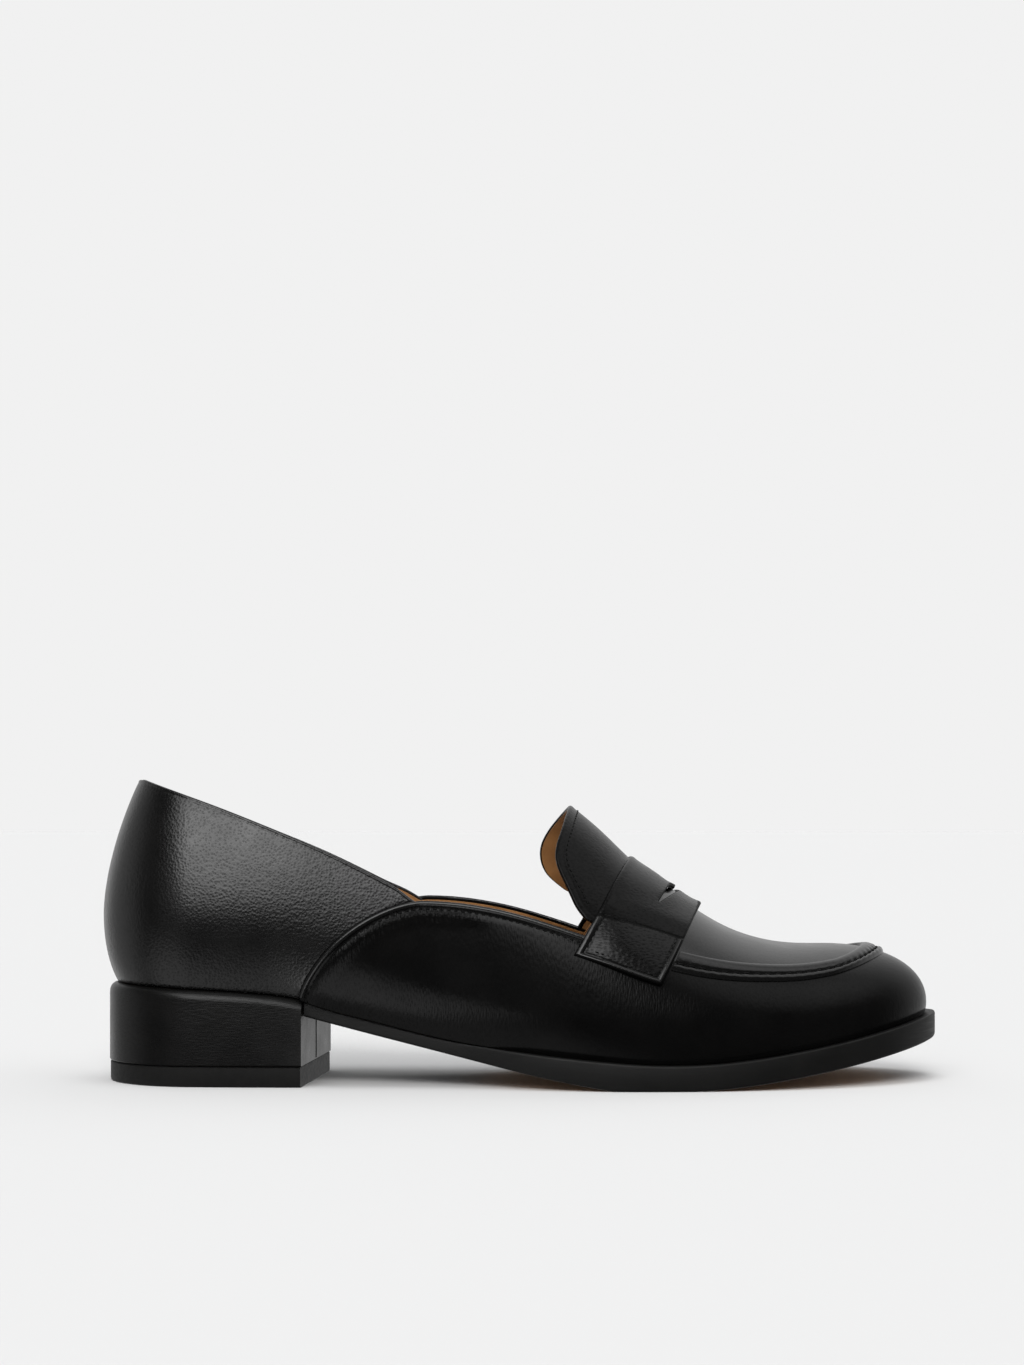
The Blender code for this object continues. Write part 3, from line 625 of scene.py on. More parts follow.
# Stitches: their pitch, length and radius, and how deep the thread lies in the leather
Stitch = namedtuple("Stitch", "pitch length radius sink")
SEAM_STITCH = Stitch(3.4, 2.5, 0.36, 0.12)
STRAP_STITCH = Stitch(1.9, 1.35, 0.2, 0.18)
TONGUE_STITCH = Stitch(1.9, 1.35, 0.2, 0.1)
EDGE_STITCH = Stitch(2.1, 1.5, 0.2, 0.12)
THREAD_SIDES = 8
THREAD_STEPS = 9
THREAD_TAPER = 5
THREAD_BLUNT = 0.03
THREAD_RISE = 0.75
THREAD_DIP = 0.12
THREAD_DIP_POWER = 3


def add_stitches(name, rows, stitch):
    """Add rows of stitches, each a short thread that dips into the leather at both ends."""
    step = np.linspace(-0.5, 0.5, THREAD_STEPS)
    ends = 2 * np.abs(step)
    girth = stitch.radius * np.sqrt(np.clip(1 - ends**THREAD_TAPER, THREAD_BLUNT, 1))
    dip = (stitch.radius + THREAD_DIP) * ends**THREAD_DIP_POWER
    height = stitch.radius * THREAD_RISE - stitch.sink - dip
    turn = np.linspace(0, 2 * math.pi, THREAD_SIDES, endpoint=False)
    ring = np.arange(THREAD_SIDES)
    quads = np.stack([ring, (ring + 1) % THREAD_SIDES], axis=-1)
    quads = np.concatenate([quads, quads[:, ::-1] + THREAD_SIDES], axis=1)
    quads = np.concatenate([quads + i * THREAD_SIDES for i in range(THREAD_STEPS - 1)])
    size = THREAD_SIDES * THREAD_STEPS
    points, faces = [], []
    for path, normal in rows:
        middle, read = resample(path, stitch.pitch)
        spot = middle[:, None] + stitch.length * step
        centre, up = read(path, spot), unit(read(normal, spot))
        side = np.cross(up, unit(np.gradient(centre, axis=1)))
        centre = centre + up * height[:, None]
        round_side = side[:, :, None] * np.cos(turn)[:, None] + up[:, :, None] * np.sin(turn)[:, None]
        threads = centre[:, :, None] + round_side * girth[:, None, None]
        for thread in threads.reshape(len(middle), size, 3):
            start = size * len(points)
            points.append(thread)
            faces += (quads + start).tolist()
            faces.append((ring[::-1] + start).tolist())
            faces.append((ring + start + size - THREAD_SIDES).tolist())
    points = np.concatenate(points)
    add_piece(name, points, faces, [black_thread], "black_leather", crease_deg=THREAD_CREASE_DEG)


# Materials: gloss, colours, and the leather's noises in waves a millimetre

LEATHER_GLOSS = 0.5
VAMP_GLOSS = 0.13
STRAP_GLOSS = 0.12
PATCH_GLOSS = 0.22
HEEL_GLOSS = 0.24
SOLE_GLOSS = 0.28
THREAD_GLOSS = 0.12
EDGE_DYE_AND_SHADE_GLOSS = 0.08
BLACK_DARK = np.array([0.0013, 0.0013, 0.0013])
BLACK_LIGHT = np.array([0.0024, 0.00234, 0.00228])
SOLE_BLACK = [(0.0032, 0.0032, 0.0031), (0.0052, 0.0051, 0.0049)]
# The black of the strap's dyed cut edges also serves as painted shade along its crease, in its slot and
# under its lifted front edge
EDGE_DYE_AND_SHADE_BLACK = [(0.0010, 0.0010, 0.0010), (0.0018, 0.0018, 0.0018)]
THREAD_BLACK = [(0.0014, 0.0014, 0.0014), (0.0030, 0.0030, 0.0030)]
LINING_TAN = [(0.21, 0.10, 0.034), (0.33, 0.162, 0.060)]
SOLE_TAN = [(0.32, 0.17, 0.075), (0.44, 0.25, 0.12)]
EVEN = (1, 1, 1)
EDGE_STREAKS = (14, 14, 0.7)
PUCKER_FOLDS = (0.62, 1, 4)
VAMP_PULL = (0.6, 1, 2.2)
STRAP_PULL = (1.5, 1, 0.7)
HEEL_PULL = (3.2, 3.2, 0.8)
MID_RANGE = (0.3, 0.7)
PEBBLE_RANGE = (0.1, 0.5)
FULL_RANGE = (0, 1)
MOTTLE_WAVES = 0.07
PATCH_WAVES = 0.12
SOFT_WAVES = 0.22
PORE_WAVES = 3.2
ROUGHNESS_PLAY = 0.03
VALLEY_GLOSS = 0.5
PEAK_GLOSS = 0.25
CELL_SOFTNESS = 0.6

# Bumps of the leather: strength and depth in millimetres
SOFT_BUMP = (0.06, 0.25)
PUCKER_BUMP = (1.0, 0.75)
PEBBLE_DEPTH = 0.1
PORE_SHARE = 0.5
PORE_DEPTH = 0.05


def feed(tree, socket, value):
    """Link a socket to another node's output, or set its value."""
    if isinstance(value, bpy.types.NodeSocket):
        tree.links.new(value, socket)
    else:
        socket.default_value = value


def feed_named(tree, made, values):
    """Feed a node's inputs by name, with an underscore for a space."""
    for name, value in values.items():
        feed(tree, made.inputs[name.replace("_", " ")], value)


def node(tree, kind, *in_order, **named):
    """Return a new node with its properties set and its inputs fed, in order or by name."""
    made = tree.nodes.new(kind)
    properties = [name for name in named if hasattr(made, name)]
    for name in properties:
        setattr(made, name, named.pop(name))
    feed_named(tree, made, named)
    for socket, value in zip(made.inputs, in_order):
        feed(tree, socket, value)
    return made


def new_material(name):
    """Return a new material and its node tree."""
    material = bpy.data.materials.new(name)
    material.use_nodes = True
    return material, material.node_tree


def painted(material, **values):
    """Return a material after feeding its shader."""
    tree = material.node_tree
    feed_named(tree, tree.nodes["Principled BSDF"], values)
    return material


def stretched(tree, stretch=EVEN):
    """Return texture coordinates in millimetres of the shoe, drawn out along an axis."""
    place = node(tree, "ShaderNodeTexCoord").outputs["Object"]
    scale = tuple(1 / (MM * size) for size in stretch)
    return node(tree, "ShaderNodeMapping", Vector=place, Scale=scale).outputs["Vector"]


def noise(tree, vector, scale, detail=3.0, roughness=0.55):
    """Return a noise value; scale is in waves a millimetre."""
    made = node(tree, "ShaderNodeTexNoise", Vector=vector, Scale=scale, Detail=detail, Roughness=roughness)
    return made.outputs["Fac"]


def cells(tree, vector, size):
    """Return a pebbled height: soft cells of a size in millimetres."""
    made = node(tree, "ShaderNodeTexVoronoi", feature="SMOOTH_F1", Vector=vector, Scale=1 / size)
    made.inputs["Smoothness"].default_value = CELL_SOFTNESS
    return made.outputs["Distance"]


def spread(tree, value, low, high, values=MID_RANGE):
    """Return a value moved from one range to another."""
    made = node(tree, "ShaderNodeMapRange", value, *values, low, high)
    return made.outputs["Result"]


def ramp(tree, value, colours):
    """Return a colour between a dark and a light one, by a value."""
    made = node(tree, "ShaderNodeValToRGB", value)
    for element, colour, position in zip(made.color_ramp.elements, colours, MID_RANGE):
        element.color = (*colour, 1)
        element.position = position
    return made.outputs["Color"]


def bumped(tree, layers):
    """Return a normal bent by heights over each other; each layer is (value, strength, depth)."""
    below = None
    for value, strength, depth in layers:
        made = node(tree, "ShaderNodeBump", Height=value, Strength=strength, Distance=depth * MM)
        if below is not None:
            feed(tree, made.inputs["Normal"], below)
        below = made.outputs["Normal"]
    return below


def puckered(tree):
    """Return a height of short upright folds, as strong as the mesh's own pucker values say."""
    mark = node(tree, "ShaderNodeAttribute", attribute_name="pucker").outputs["Fac"]
    folds = noise(tree, stretched(tree, PUCKER_FOLDS), 1.0, detail=2)
    return node(tree, "ShaderNodeMath", mark, folds, operation="MULTIPLY").outputs["Value"]


def leather(name, roughness, grain, relief, pull=EVEN, gloss=LEATHER_GLOSS, lightness=1.0, puckers=False):
    """Return smooth dyed leather with a pebbled grain, drawn out where it was pulled over the last."""
    material, tree = new_material(name)
    even, drawn = stretched(tree), stretched(tree, pull)
    shade = ramp(tree, noise(tree, even, MOTTLE_WAVES), (BLACK_DARK * lightness, BLACK_LIGHT * lightness))
    patches = noise(tree, even, PATCH_WAVES, detail=2)
    pebble = cells(tree, drawn, grain)
    low_gloss, high_gloss = gloss * (1 - VALLEY_GLOSS * relief), gloss * (1 + PEAK_GLOSS * relief)
    pores = noise(tree, drawn, PORE_WAVES, detail=2)
    layers = [(puckered(tree), *PUCKER_BUMP)] if puckers else []
    layers.append((noise(tree, even, SOFT_WAVES, detail=2), *SOFT_BUMP))
    layers += [(pebble, relief, PEBBLE_DEPTH), (pores, relief * PORE_SHARE, PORE_DEPTH)]
    return painted(
        material,
        Base_Color=shade,
        Roughness=spread(tree, patches, roughness - ROUGHNESS_PLAY, roughness + ROUGHNESS_PLAY),
        Specular_IOR_Level=spread(tree, pebble, low_gloss, high_gloss, PEBBLE_RANGE),
        Normal=bumped(tree, layers),
    )


def finish(name, surface, colours, gloss, waves, detail=3.0):
    """Return a mottled material with the roughness and the bumps that surface() gives."""
    material, tree = new_material(name)
    even = stretched(tree)
    roughness, layers = surface(tree, even)
    shade = ramp(tree, noise(tree, even, waves, detail), colours)
    normal = bumped(tree, layers)
    return painted(material, Base_Color=shade, Roughness=roughness, Specular_IOR_Level=gloss, Normal=normal)


def dressed_edge(tree, even):
    """A satin edge with fine lines along it."""
    streak = noise(tree, stretched(tree, EDGE_STREAKS), 1.0)
    return spread(tree, streak, 0.42, 0.55), [(streak, 0.3, 0.08), (noise(tree, even, 1.6), 0.2, 0.06)]


def rubber(tree, even):
    """The matt rubber of the top lift."""
    return spread(tree, noise(tree, even, 0.8), 0.5, 0.62), [(noise(tree, even, 2.5), 0.25, 0.06)]


def unglazed(tree, even):
    """Unglazed leather with small pores."""
    layers = [(cells(tree, even, 0.8), 0.3, 0.08), (noise(tree, even, 2.4), 0.3, 0.08)]
    return spread(tree, noise(tree, even, 0.5), 0.52, 0.66), layers


def waxed_thread(tree, even):
    """Waxed thread, with a twist."""
    wave = node(tree, "ShaderNodeTexWave", Vector=even, Scale=1.5, Distortion=0.6)
    wave.bands_direction = "DIAGONAL"
    twist = wave.outputs["Fac"]
    return spread(tree, twist, 0.36, 0.5, FULL_RANGE), [(twist, 0.4, 0.06)]


quarter_leather = leather("quarter_leather", 0.25, 0.76, 0.62)
vamp_leather = leather("vamp_leather", 0.23, 0.8, 0.4, VAMP_PULL, VAMP_GLOSS, puckers=True)
apron_leather = leather("apron_leather", 0.22, 0.7, 0.3)
strap_leather = leather("strap_leather", 0.26, 0.9, 0.6, STRAP_PULL, STRAP_GLOSS)
patch_leather = leather("patch_leather", 0.26, 0.9, 0.8, STRAP_PULL, PATCH_GLOSS)
edge_leather = leather("edge_leather", 0.22, 0.7, 0.25)
heel_leather = leather("heel_leather", 0.3, 0.6, 0.3, HEEL_PULL, HEEL_GLOSS, lightness=1.6)
sole_black = finish("sole_black", dressed_edge, SOLE_BLACK, SOLE_GLOSS, 0.1)
# Dyed edge black, which is also painted shade on the strap
edge_dye_and_shade = finish("edge_dye_and_shade", dressed_edge, EDGE_DYE_AND_SHADE_BLACK, EDGE_DYE_AND_SHADE_GLOSS, 0.1)
lift_rubber = finish("lift_rubber", rubber, SOLE_BLACK, SOLE_GLOSS, 0.3)
tan_leather = finish("tan_leather", unglazed, LINING_TAN, LEATHER_GLOSS, 0.12, detail=5)
sole_tan = finish("sole_tan", unglazed, SOLE_TAN, LEATHER_GLOSS, 0.12, detail=5)
black_thread = finish("black_thread", waxed_thread, THREAD_BLACK, THREAD_GLOSS, 1.2)


# Upper: quarter, vamp and apron over one lining

SIDES = (False, True)
LINE_START = 0.1
VAMP_START = 0.12
VAMP_CORNER_LINES = 70
VAMP_ROWS = 58
LOWEST_EDGE = -0.97
TOE_LINES = 141
QUARTER_END_X = 104
QUARTER_LINES = 74
QUARTER_HEEL_LINES = 44
QUARTER_ROWS = 84
QUARTER_LAP = 7
QUARTER_PAST_FOOT = 1
QUARTER_LEAST = 0.05
FAR_BEHIND = 10.0
TUCKED = (0.2, -0.9)
STITCH_PULL = Hump(0.16, EDGE_STITCH_IN, 0.6)
EDGE_PUFF = Hump(0.13, 5.0, 2.2)
EDGE_PUFF_X = (120, 104)
LAP_X = (170, 140)
PUCKER = Hump(1.0, 4.2, 1.7)
PUCKER_REAR_X = (64, 82)
PUCKER_FRONT_X = (124, 104)
EDGE_TO_SEAM_X = (157, 172)
FULL_DEPTH_X = (100, 108)
LAP_DEPTH = 0.3
INNER_ROUNDING = 0.4
SLOT_PUFF = 1.1
SLOT_PUFF_X = 174.2
SLOT_PUFF_HALF = 1.4
SLOT_PUFF_REACH = 0.6
APRON_START_X = 146
APRON_UNDER_SEAM = -1.5
APRON_LEAST = 0.01
APRON_ROWS = 70
LINING_BELOW = 0.95
LINING_LINES = 96
LINING_HEEL_LINES = 26
LINING_TOE_LINES = 61
LINING_ROWS = 40


def corner_x(first_angle, count, endpoint=True):
    """Return x round the corner of the vamp's edge, from its foot to its top."""
    angle = np.linspace(first_angle, math.pi / 2, count, endpoint=endpoint)
    return EDGE_TOP_X - (EDGE_TOP_X - EDGE_FOOT_X) * np.cos(angle) ** (2 / EDGE_POWER)


def edge_line(medial, count=400):
    """Return the vamp's edge on the last, from heel breast to throat, densely drawn, with normals."""
    x = np.concatenate([corner_x(LINE_START, count), np.linspace(EDGE_TOP_X, EDGE_END_X, count)[1:]])
    place = place_at(x, medial)
    level = level_below(place, vamp_height)
    return last_point(place, level), last_normal(place, level)


VAMP_EDGE = {medial: edge_line(medial) for medial in SIDES}
VAMP_EDGES = np.concatenate([VAMP_EDGE[medial][0] for medial in SIDES])


def quarter_foot(points):
    """Return the height of the quarter's lower edge, which the vamp hides."""
    return np.where(points[..., 0] < EDGE_FOOT_X + QUARTER_PAST_FOOT, 0, vamp_height(points) - QUARTER_LAP)


def make_quarter():
    """The back quarter, round the heel from vamp to vamp; its front edge lies under the vamp."""
    x = np.linspace(FAN_HEEL_X, QUARTER_END_X, QUARTER_LINES)
    heel = np.linspace(0, 1, QUARTER_HEEL_LINES, endpoint=False)
    place = np.concatenate([place_at(x[::-1], False), heel[:0:-1], 5 - heel, place_at(x, True)])
    high = level_below(place, quarter_height)
    low = np.minimum(level_below(place, quarter_foot), high - QUARTER_LEAST)
    level = levels_from_top(place, low, high, QUARTER_ROWS)
    place = place[:, None]
    points = last_point(place, level)
    to_top = run_along(points)
    behind = np.sign(points[..., 2] - vamp_height(points)) * distance_to(points, VAMP_EDGES[::3])
    behind = np.where(points[..., 0] < EDGE_FOOT_X, FAR_BEHIND, behind)
    above = folded(to_top, TOPLINE_GROOVE_IN) - UNDER_VAMP * smooth(*TUCKED, behind)
    below = rounded(to_top, FOLD_RADIUS) - LEATHER
    add_skin("quarter", place, level, above, below, quarter_leather, "upper")


def side_columns(start_x, spacing=1.1, corner_lines=0):
    """Return places from start_x on the lateral side round the toe to start_x on the medial side."""
    x = np.linspace(start_x, FAN_TOE_X, round((FAN_TOE_X - start_x) / spacing) + 1)
    x = np.concatenate([corner_x(VAMP_START, corner_lines, endpoint=False), x])
    toe = np.linspace(2, 3, TOE_LINES)[1:-1]
    return np.concatenate([place_at(x, False), toe, place_at(x[::-1], True)])


def vamp_offset(points, distance):
    """Return how far the vamp stands off the last: it laps over the quarter and puffs past its stitches."""
    lap = VAMP_LAP * np.exp(-((distance / LAP_FADES) ** 2))
    pull = hump(distance, STITCH_PULL)
    puff = hump(distance, EDGE_PUFF) * smooth(*EDGE_PUFF_X, points[..., 0])
    return VAMP_LIFT + (lap - pull + puff) * smooth(*LAP_X, points[..., 0])


def mark_puckers(piece):
    """Store on each point how much the leather puckers: under the stitches, round the vamp's corner."""
    places = np.empty(3 * len(piece.data.vertices))
    piece.data.vertices.foreach_get("co", places)
    points = places.reshape(-1, 3) / MM + ORIGIN
    amount = hump(distance_to(points, VAMP_EDGES[::2]), PUCKER)
    amount *= smooth(*PUCKER_REAR_X, points[:, 0]) * smooth(*PUCKER_FRONT_X, points[:, 0])
    mark = piece.data.attributes.new("pucker", "FLOAT", "POINT")
    mark.data.foreach_set("value", amount)


def make_vamp():
    """The vamp's side, from its folded edge round the toe, up to the raised seam."""
    place = side_columns(EDGE_TOP_X, corner_lines=VAMP_CORNER_LINES)
    edge = level_below(place, vamp_height)
    to_seam = smooth(*EDGE_TO_SEAM_X, last_point(place, -1)[:, 0])
    high = edge + (seam_level(place) - edge) * to_seam
    keep = high > LOWEST_EDGE
    place, high = place[keep], high[keep]
    level = levels_from_top(place, -1, high, VAMP_ROWS)
    place = place[:, None]
    points = last_point(place, level)
    to_edge = distance_to(points, VAMP_EDGES[::2])
    rounding = rounded(to_edge, FOLD_RADIUS)
    above = vamp_offset(points, to_edge) - rounding
    depth = LAP_DEPTH + (LEATHER - LAP_DEPTH) * smooth(*FULL_DEPTH_X, points[..., 0])
    below = rounding * INNER_ROUNDING - depth
    mark_puckers(add_skin("vamp", place, level, above, below, vamp_leather, "upper"))


def slot_puff(points, level):
    """Return how far the apron pushes up into the strap's slot."""
    ridge_x = points[..., 0]
    for _ in range(SLOT_STEPS):
        ridge_x = points[..., 0] + INSTEP_LEAN * (ridge_z(ridge_x) - points[..., 2])
    along = np.clip(1 - ((ridge_x - SLOT_PUFF_X) / SLOT_PUFF_HALF) ** 2, 0, None)
    down = (1 - level) / (1 - STRAP_END)
    return SLOT_PUFF * along * np.clip(1 - (down / (SLOT_PUFF_REACH * SLOT_REACH)) ** 2, 0, None)


def make_apron():
    """The apron on top of the foot, inside the raised seam, from the throat to the toe."""
    place = side_columns(APRON_START_X)
    high = level_below(place, throat_height)
    low = seam_band_level(place, APRON_UNDER_SEAM)
    keep = high > low + APRON_LEAST
    place, high, low = place[keep, None], high[keep, None], low[keep, None]
    level = high + (low - high) * np.linspace(0, 1, APRON_ROWS)
    above = VAMP_LIFT + slot_puff(last_point(place, level), level)
    ridge = high[:, 0] == 1.0
    add_skin("apron", place, level, above, -LEATHER, apron_leather, "upper", ridge=ridge)


def lining_height(points):
    """Return the height at which the lining ends: below the collar, or behind the throat."""
    return np.maximum(collar_height(points) - LINING_BELOW, plane_across(LINING_REAR, points))


def make_lining():
    """The tan lining inside the upper, from the collar to the toe."""
    x = np.linspace(FAN_HEEL_X, FAN_TOE_X, LINING_LINES)
    heel = np.linspace(0, 1, LINING_HEEL_LINES, endpoint=False)
    toe = np.linspace(2, 3, LINING_TOE_LINES)[1:-1]
    place = np.concatenate([heel, place_at(x, False), toe, place_at(x[::-1], True), 5 - heel[:0:-1]])
    high = level_below(place, lining_height)
    ridge = high == 1.0
    level = levels_from_top(place, -1, high, LINING_ROWS)
    level[ridge, 0] = 1.0
    form = {"loop": True, "ridge": ridge}
    place = place[:, None]
    add_skin("lining", place, level, -LINING_FACE, -WALL, tan_leather, "upper", "tan_lining", **form)


# Folded edge of the vamp and the raised seam

BEAD = np.array([
    (-0.85, -0.15), (-0.8, 0.3), (-0.55, 0.62), (-0.15, 0.78),
    (0.25, 0.72), (0.6, 0.5), (0.82, 0.2), (0.85, -0.15),
])
BEAD_IN = 0.75
BEAD_ABOVE_SEAT = 1.2
STITCHES_ABOVE_SEAT = 2

# The raised seam: height across it, where it is sewn and how far each stitch pulls it in
SEAM_SHAPE = [
    (-3.6, 0.10), (-3.3, 0.62), (-2.7, 1.18), (-2.1, 1.28), (-1.55, 1.00), (-1.1, 0.62), (-0.6, 1.05),
    (0.1, 1.42), (1.2, 1.60), (2.3, 1.50), (3.0, 1.22), (3.35, 0.80), (3.6, 0.10),
]
SEAM_LINES = 41
SEAM_SEWN_AT = -1.1
SEAM_PULL = 0.16
SEAM_PULL_WIDTH = 1.3
SEAM_BASE = 0.05
SEAM_STITCH_RISE = 0.12
seam_height = spline(SEAM_SHAPE)


def edge_path(medial, inward, above_seat):
    """Return a line inside the vamp's edge, from a height above the heel seat on, with its normals."""
    line, normal = VAMP_EDGE[medial]
    inside = np.cross(unit(np.gradient(line, axis=0)), normal) * (-1 if medial else 1)
    path = line + inside * inward
    path = path + normal * vamp_offset(path, inward + 0 * path[:, 0])[:, None]
    clear = path[:, 2] > seat_height(path[:, 0]) + above_seat
    return path[clear], normal[clear]


def make_vamp_edges():
    """The folded bead along the vamp's edge on each side."""
    for medial, name in zip(SIDES, ("vamp_edge_lateral", "vamp_edge_medial")):
        path, normal = edge_path(medial, BEAD_IN, BEAD_ABOVE_SEAT)
        bar = sweep(path[::3], normal[::3], BEAD * ((1, 1) if medial else (-1, 1)))
        add_piece(name + "_fold", *bar, [edge_leather], "black_leather", [name])


def seam_end(across, medial):
    """Return the places where the raised seam's lines meet the front of the strap on one side."""
    place = place_at(STRAP_FRONT, medial) + 0 * across
    for _ in range(SEAM_END_STEPS):
        level = seam_band_level(place, across)
        place = leaning_place(STRAP_FRONT + SEAM_OFF_STRAP, level, medial, STRAP_BOW)
    return place


def seam_grid(across, side_steps=60, toe_steps=140):
    """Return places and levels of the raised seam's lines, from the strap round the toe to the strap."""
    start, end = (seam_end(across, medial) for medial in SIDES)
    side = np.linspace(0, 1, side_steps, endpoint=False)[:, None]
    toe = np.linspace(2, 3, toe_steps)[:, None]
    place = np.concatenate([start + (2 - start) * side, toe + 0 * across, end + (3 - end) * side[::-1]])
    return place, seam_band_level(place, across)


def make_apron_seam():
    """The raised seam: a rolled band, a sewn groove and a lower roll, pulled in at each stitch."""
    across = np.linspace(SEAM_SHAPE[0][0], SEAM_SHAPE[-1][0], SEAM_LINES)
    place, level = seam_grid(across)
    run = run_along(last_point(place, level)[:, SEAM_LINES // 3])
    wave = np.cos(2 * math.pi * run / SEAM_STITCH.pitch)[:, None]
    pull = SEAM_PULL * wave * bump(across, SEAM_SEWN_AT, SEAM_PULL_WIDTH)
    above = VAMP_LIFT + seam_height(across) - pull
    add_skin("apron_seam_roll", place, level, above, SEAM_BASE, edge_leather, "apron_seam")

    sewn = np.array([SEAM_SEWN_AT])
    place, level = seam_grid(sewn)
    path = lifted(place, level, VAMP_LIFT + seam_height(sewn) + SEAM_STITCH_RISE)[:, 0]
    add_stitches("seam_stitches", [(path, last_normal(place, level)[:, 0])], SEAM_STITCH)


# Strap: a step along the ridge is SLANT steps across the strap; widths and depths in millimetres

SLANT = 0.88
STRAP_ROUND = 0.42
STRAP_STITCH_IN = 1.5
STRAP_SKIVE = Hump(0.5, 0, 4.5)
STRAP_LIP = Hump(0.6, 0, 2.4)
STRAP_LIP_REACH = 0.3
STRAP_LINED_IN = 0.7
STRAP_BEAD = 0.05
STRAP_BEAD_IN = 0.7
STRAP_BEAD_WIDTH = 0.34
STRAP_BEADED = (0.3, 1.05)
STRAP_FACE_IN = (0, 0.6)
STRAP_MIDDLE_LINES = np.linspace(0.14, 0.86, 6)
STRAP_FINE_REACH = 0.45
STRAP_FINE_LINES = 50
STRAP_LINES = 150
# Black bands along the strap's front edge, slot and ends: dyed cut edges, and also painted shade where the
# strap stands off the apron
DYE_AND_SHADE_WIDTH = 0.45
# Near the ridge the band widens as painted shade under the lifted front lip
SHADE_UNDER_LIP = Hump(0.7, 0, 0.2)
END_DYE_AND_SHADE = 0.3

# The slot: its lips, the bows of its edges, the tab in the middle, and lines that crowd towards it
SLOT_OPEN = 0.01
SLOT_LIP = Hump(0.5, 0, 1.6)
SLOT_LIP_FROM = (0.02, 0.5)
SLOT_REAR_BOW = 0.2
SLOT_FRONT_BOW = 2.9
SLOT_TAB = Hump(1.5, 0, 0.11)
SLOT_LINES = np.array([2.6, 2.0, 1.5, 1.1, 0.8, 0.55, 0.35, 0.2, 0.1, 0.0])[:, None]

# The crease across the strap and the sewn-down patch below it
CREASE_X = 152.4
CREASE_Z = 50.4
CREASE_SLOPE = -0.34
CREASE_DEPTH = 0.36
CREASE_WIDTH = 0.4
CREASE_ROLL = Hump(0.45, 4.2, 2.8)
# A band along the crease, this wide each way and centred this far below it, is painted shade in the black of
# the edges
CREASE_SHADE_HALF_WIDTH = 0.62
CREASE_SHADE_BELOW = 0.15
CREASE_FROM = 0.2
CREASE_STEPS = 400
PATCH_FROM = (0.5, -0.5)
PATCH_LIFT = 0.45
PATCH_BEAD = 0.13
PATCH_GROOVE = 0.24
PATCH_GROOVE_WIDTH = 0.28
PATCH_PUFF = 0.3
PATCH_PUFF_IN = (1.9, 6.5)
PATCH_STITCH_END = 0.962
PATCH_STITCH_RISE = 0.05
PATCH_ROW = 40
PATCH_WIDTH_POINTS = 60
PATCH_WIDTH_SKIPS = 6

# Order of the strap's materials; the edge black also serves as painted shade
PLAIN, DYE_AND_SHADE, LINED, BEADED, PATCH = range(5)


def slot_shape(down):
    """Return how far the slot's edges bow at each place across the strap, 1 at the ridge."""
    return np.clip(1 - (down / SLOT_REACH) ** 2, 0, None)


def strap_half(down, front):
    """Return the rows of one half of the strap along the ridge, from its outer edge to the slot's line."""
    outer_edge = STRAP_FRONT if front else STRAP_REAR
    slot_edge = SLOT_MIDDLE + slot_shape(down) * (SLOT_FRONT_BOW if front else SLOT_REAR_BOW)
    if not front:
        slot_edge = slot_edge + hump(down, SLOT_TAB)
    width = np.abs(slot_edge - outer_edge)
    near = EDGE_LINES[:, None] + 0 * down
    middle = near[-1] + (width - SLOT_LINES[0] - near[-1]) * STRAP_MIDDLE_LINES[:, None]
    rest = np.concatenate([near, middle, width - SLOT_LINES])
    return outer_edge + rest * (-1 if front else 1), rest, width - rest


def above_crease(points):
    """Return how far points lie above the strap's crease."""
    return points[..., 2] - (CREASE_Z + CREASE_SLOPE * (points[..., 0] - CREASE_X))


def strap_shades(down, to_edge, to_slot, to_end, drop, front):
    """Return the material of each part of the strap's outer face, with painted shade in edge black along its
    crease, slot and edges.
    """
    edge = np.minimum(to_edge * SLANT, to_end)
    shade = np.where(smooth(*PATCH_FROM, drop) < 0.5, PLAIN, PATCH)
    beaded = (edge > STRAP_BEADED[0]) & (edge < STRAP_BEADED[1])
    shade = np.where((shade == PATCH) & beaded, BEADED, shade)
    # Dyed slot edges, which are also painted shade in the slot
    dye_and_shade = (slot_shape(down) > SLOT_OPEN) & (to_slot * SLANT < DYE_AND_SHADE_WIDTH)
    # Dyed front edge, which is also painted shade ahead of it
    if front:
        dye_and_shade |= to_edge * SLANT < DYE_AND_SHADE_WIDTH + hump(down, SHADE_UNDER_LIP)
    # Painted shade along the crease
    dye_and_shade |= np.abs(drop + CREASE_SHADE_BELOW) < CREASE_SHADE_HALF_WIDTH
    # Dyed ends, which are also painted shade below them
    return np.where(dye_and_shade | (to_end < END_DYE_AND_SHADE), DYE_AND_SHADE, shade)


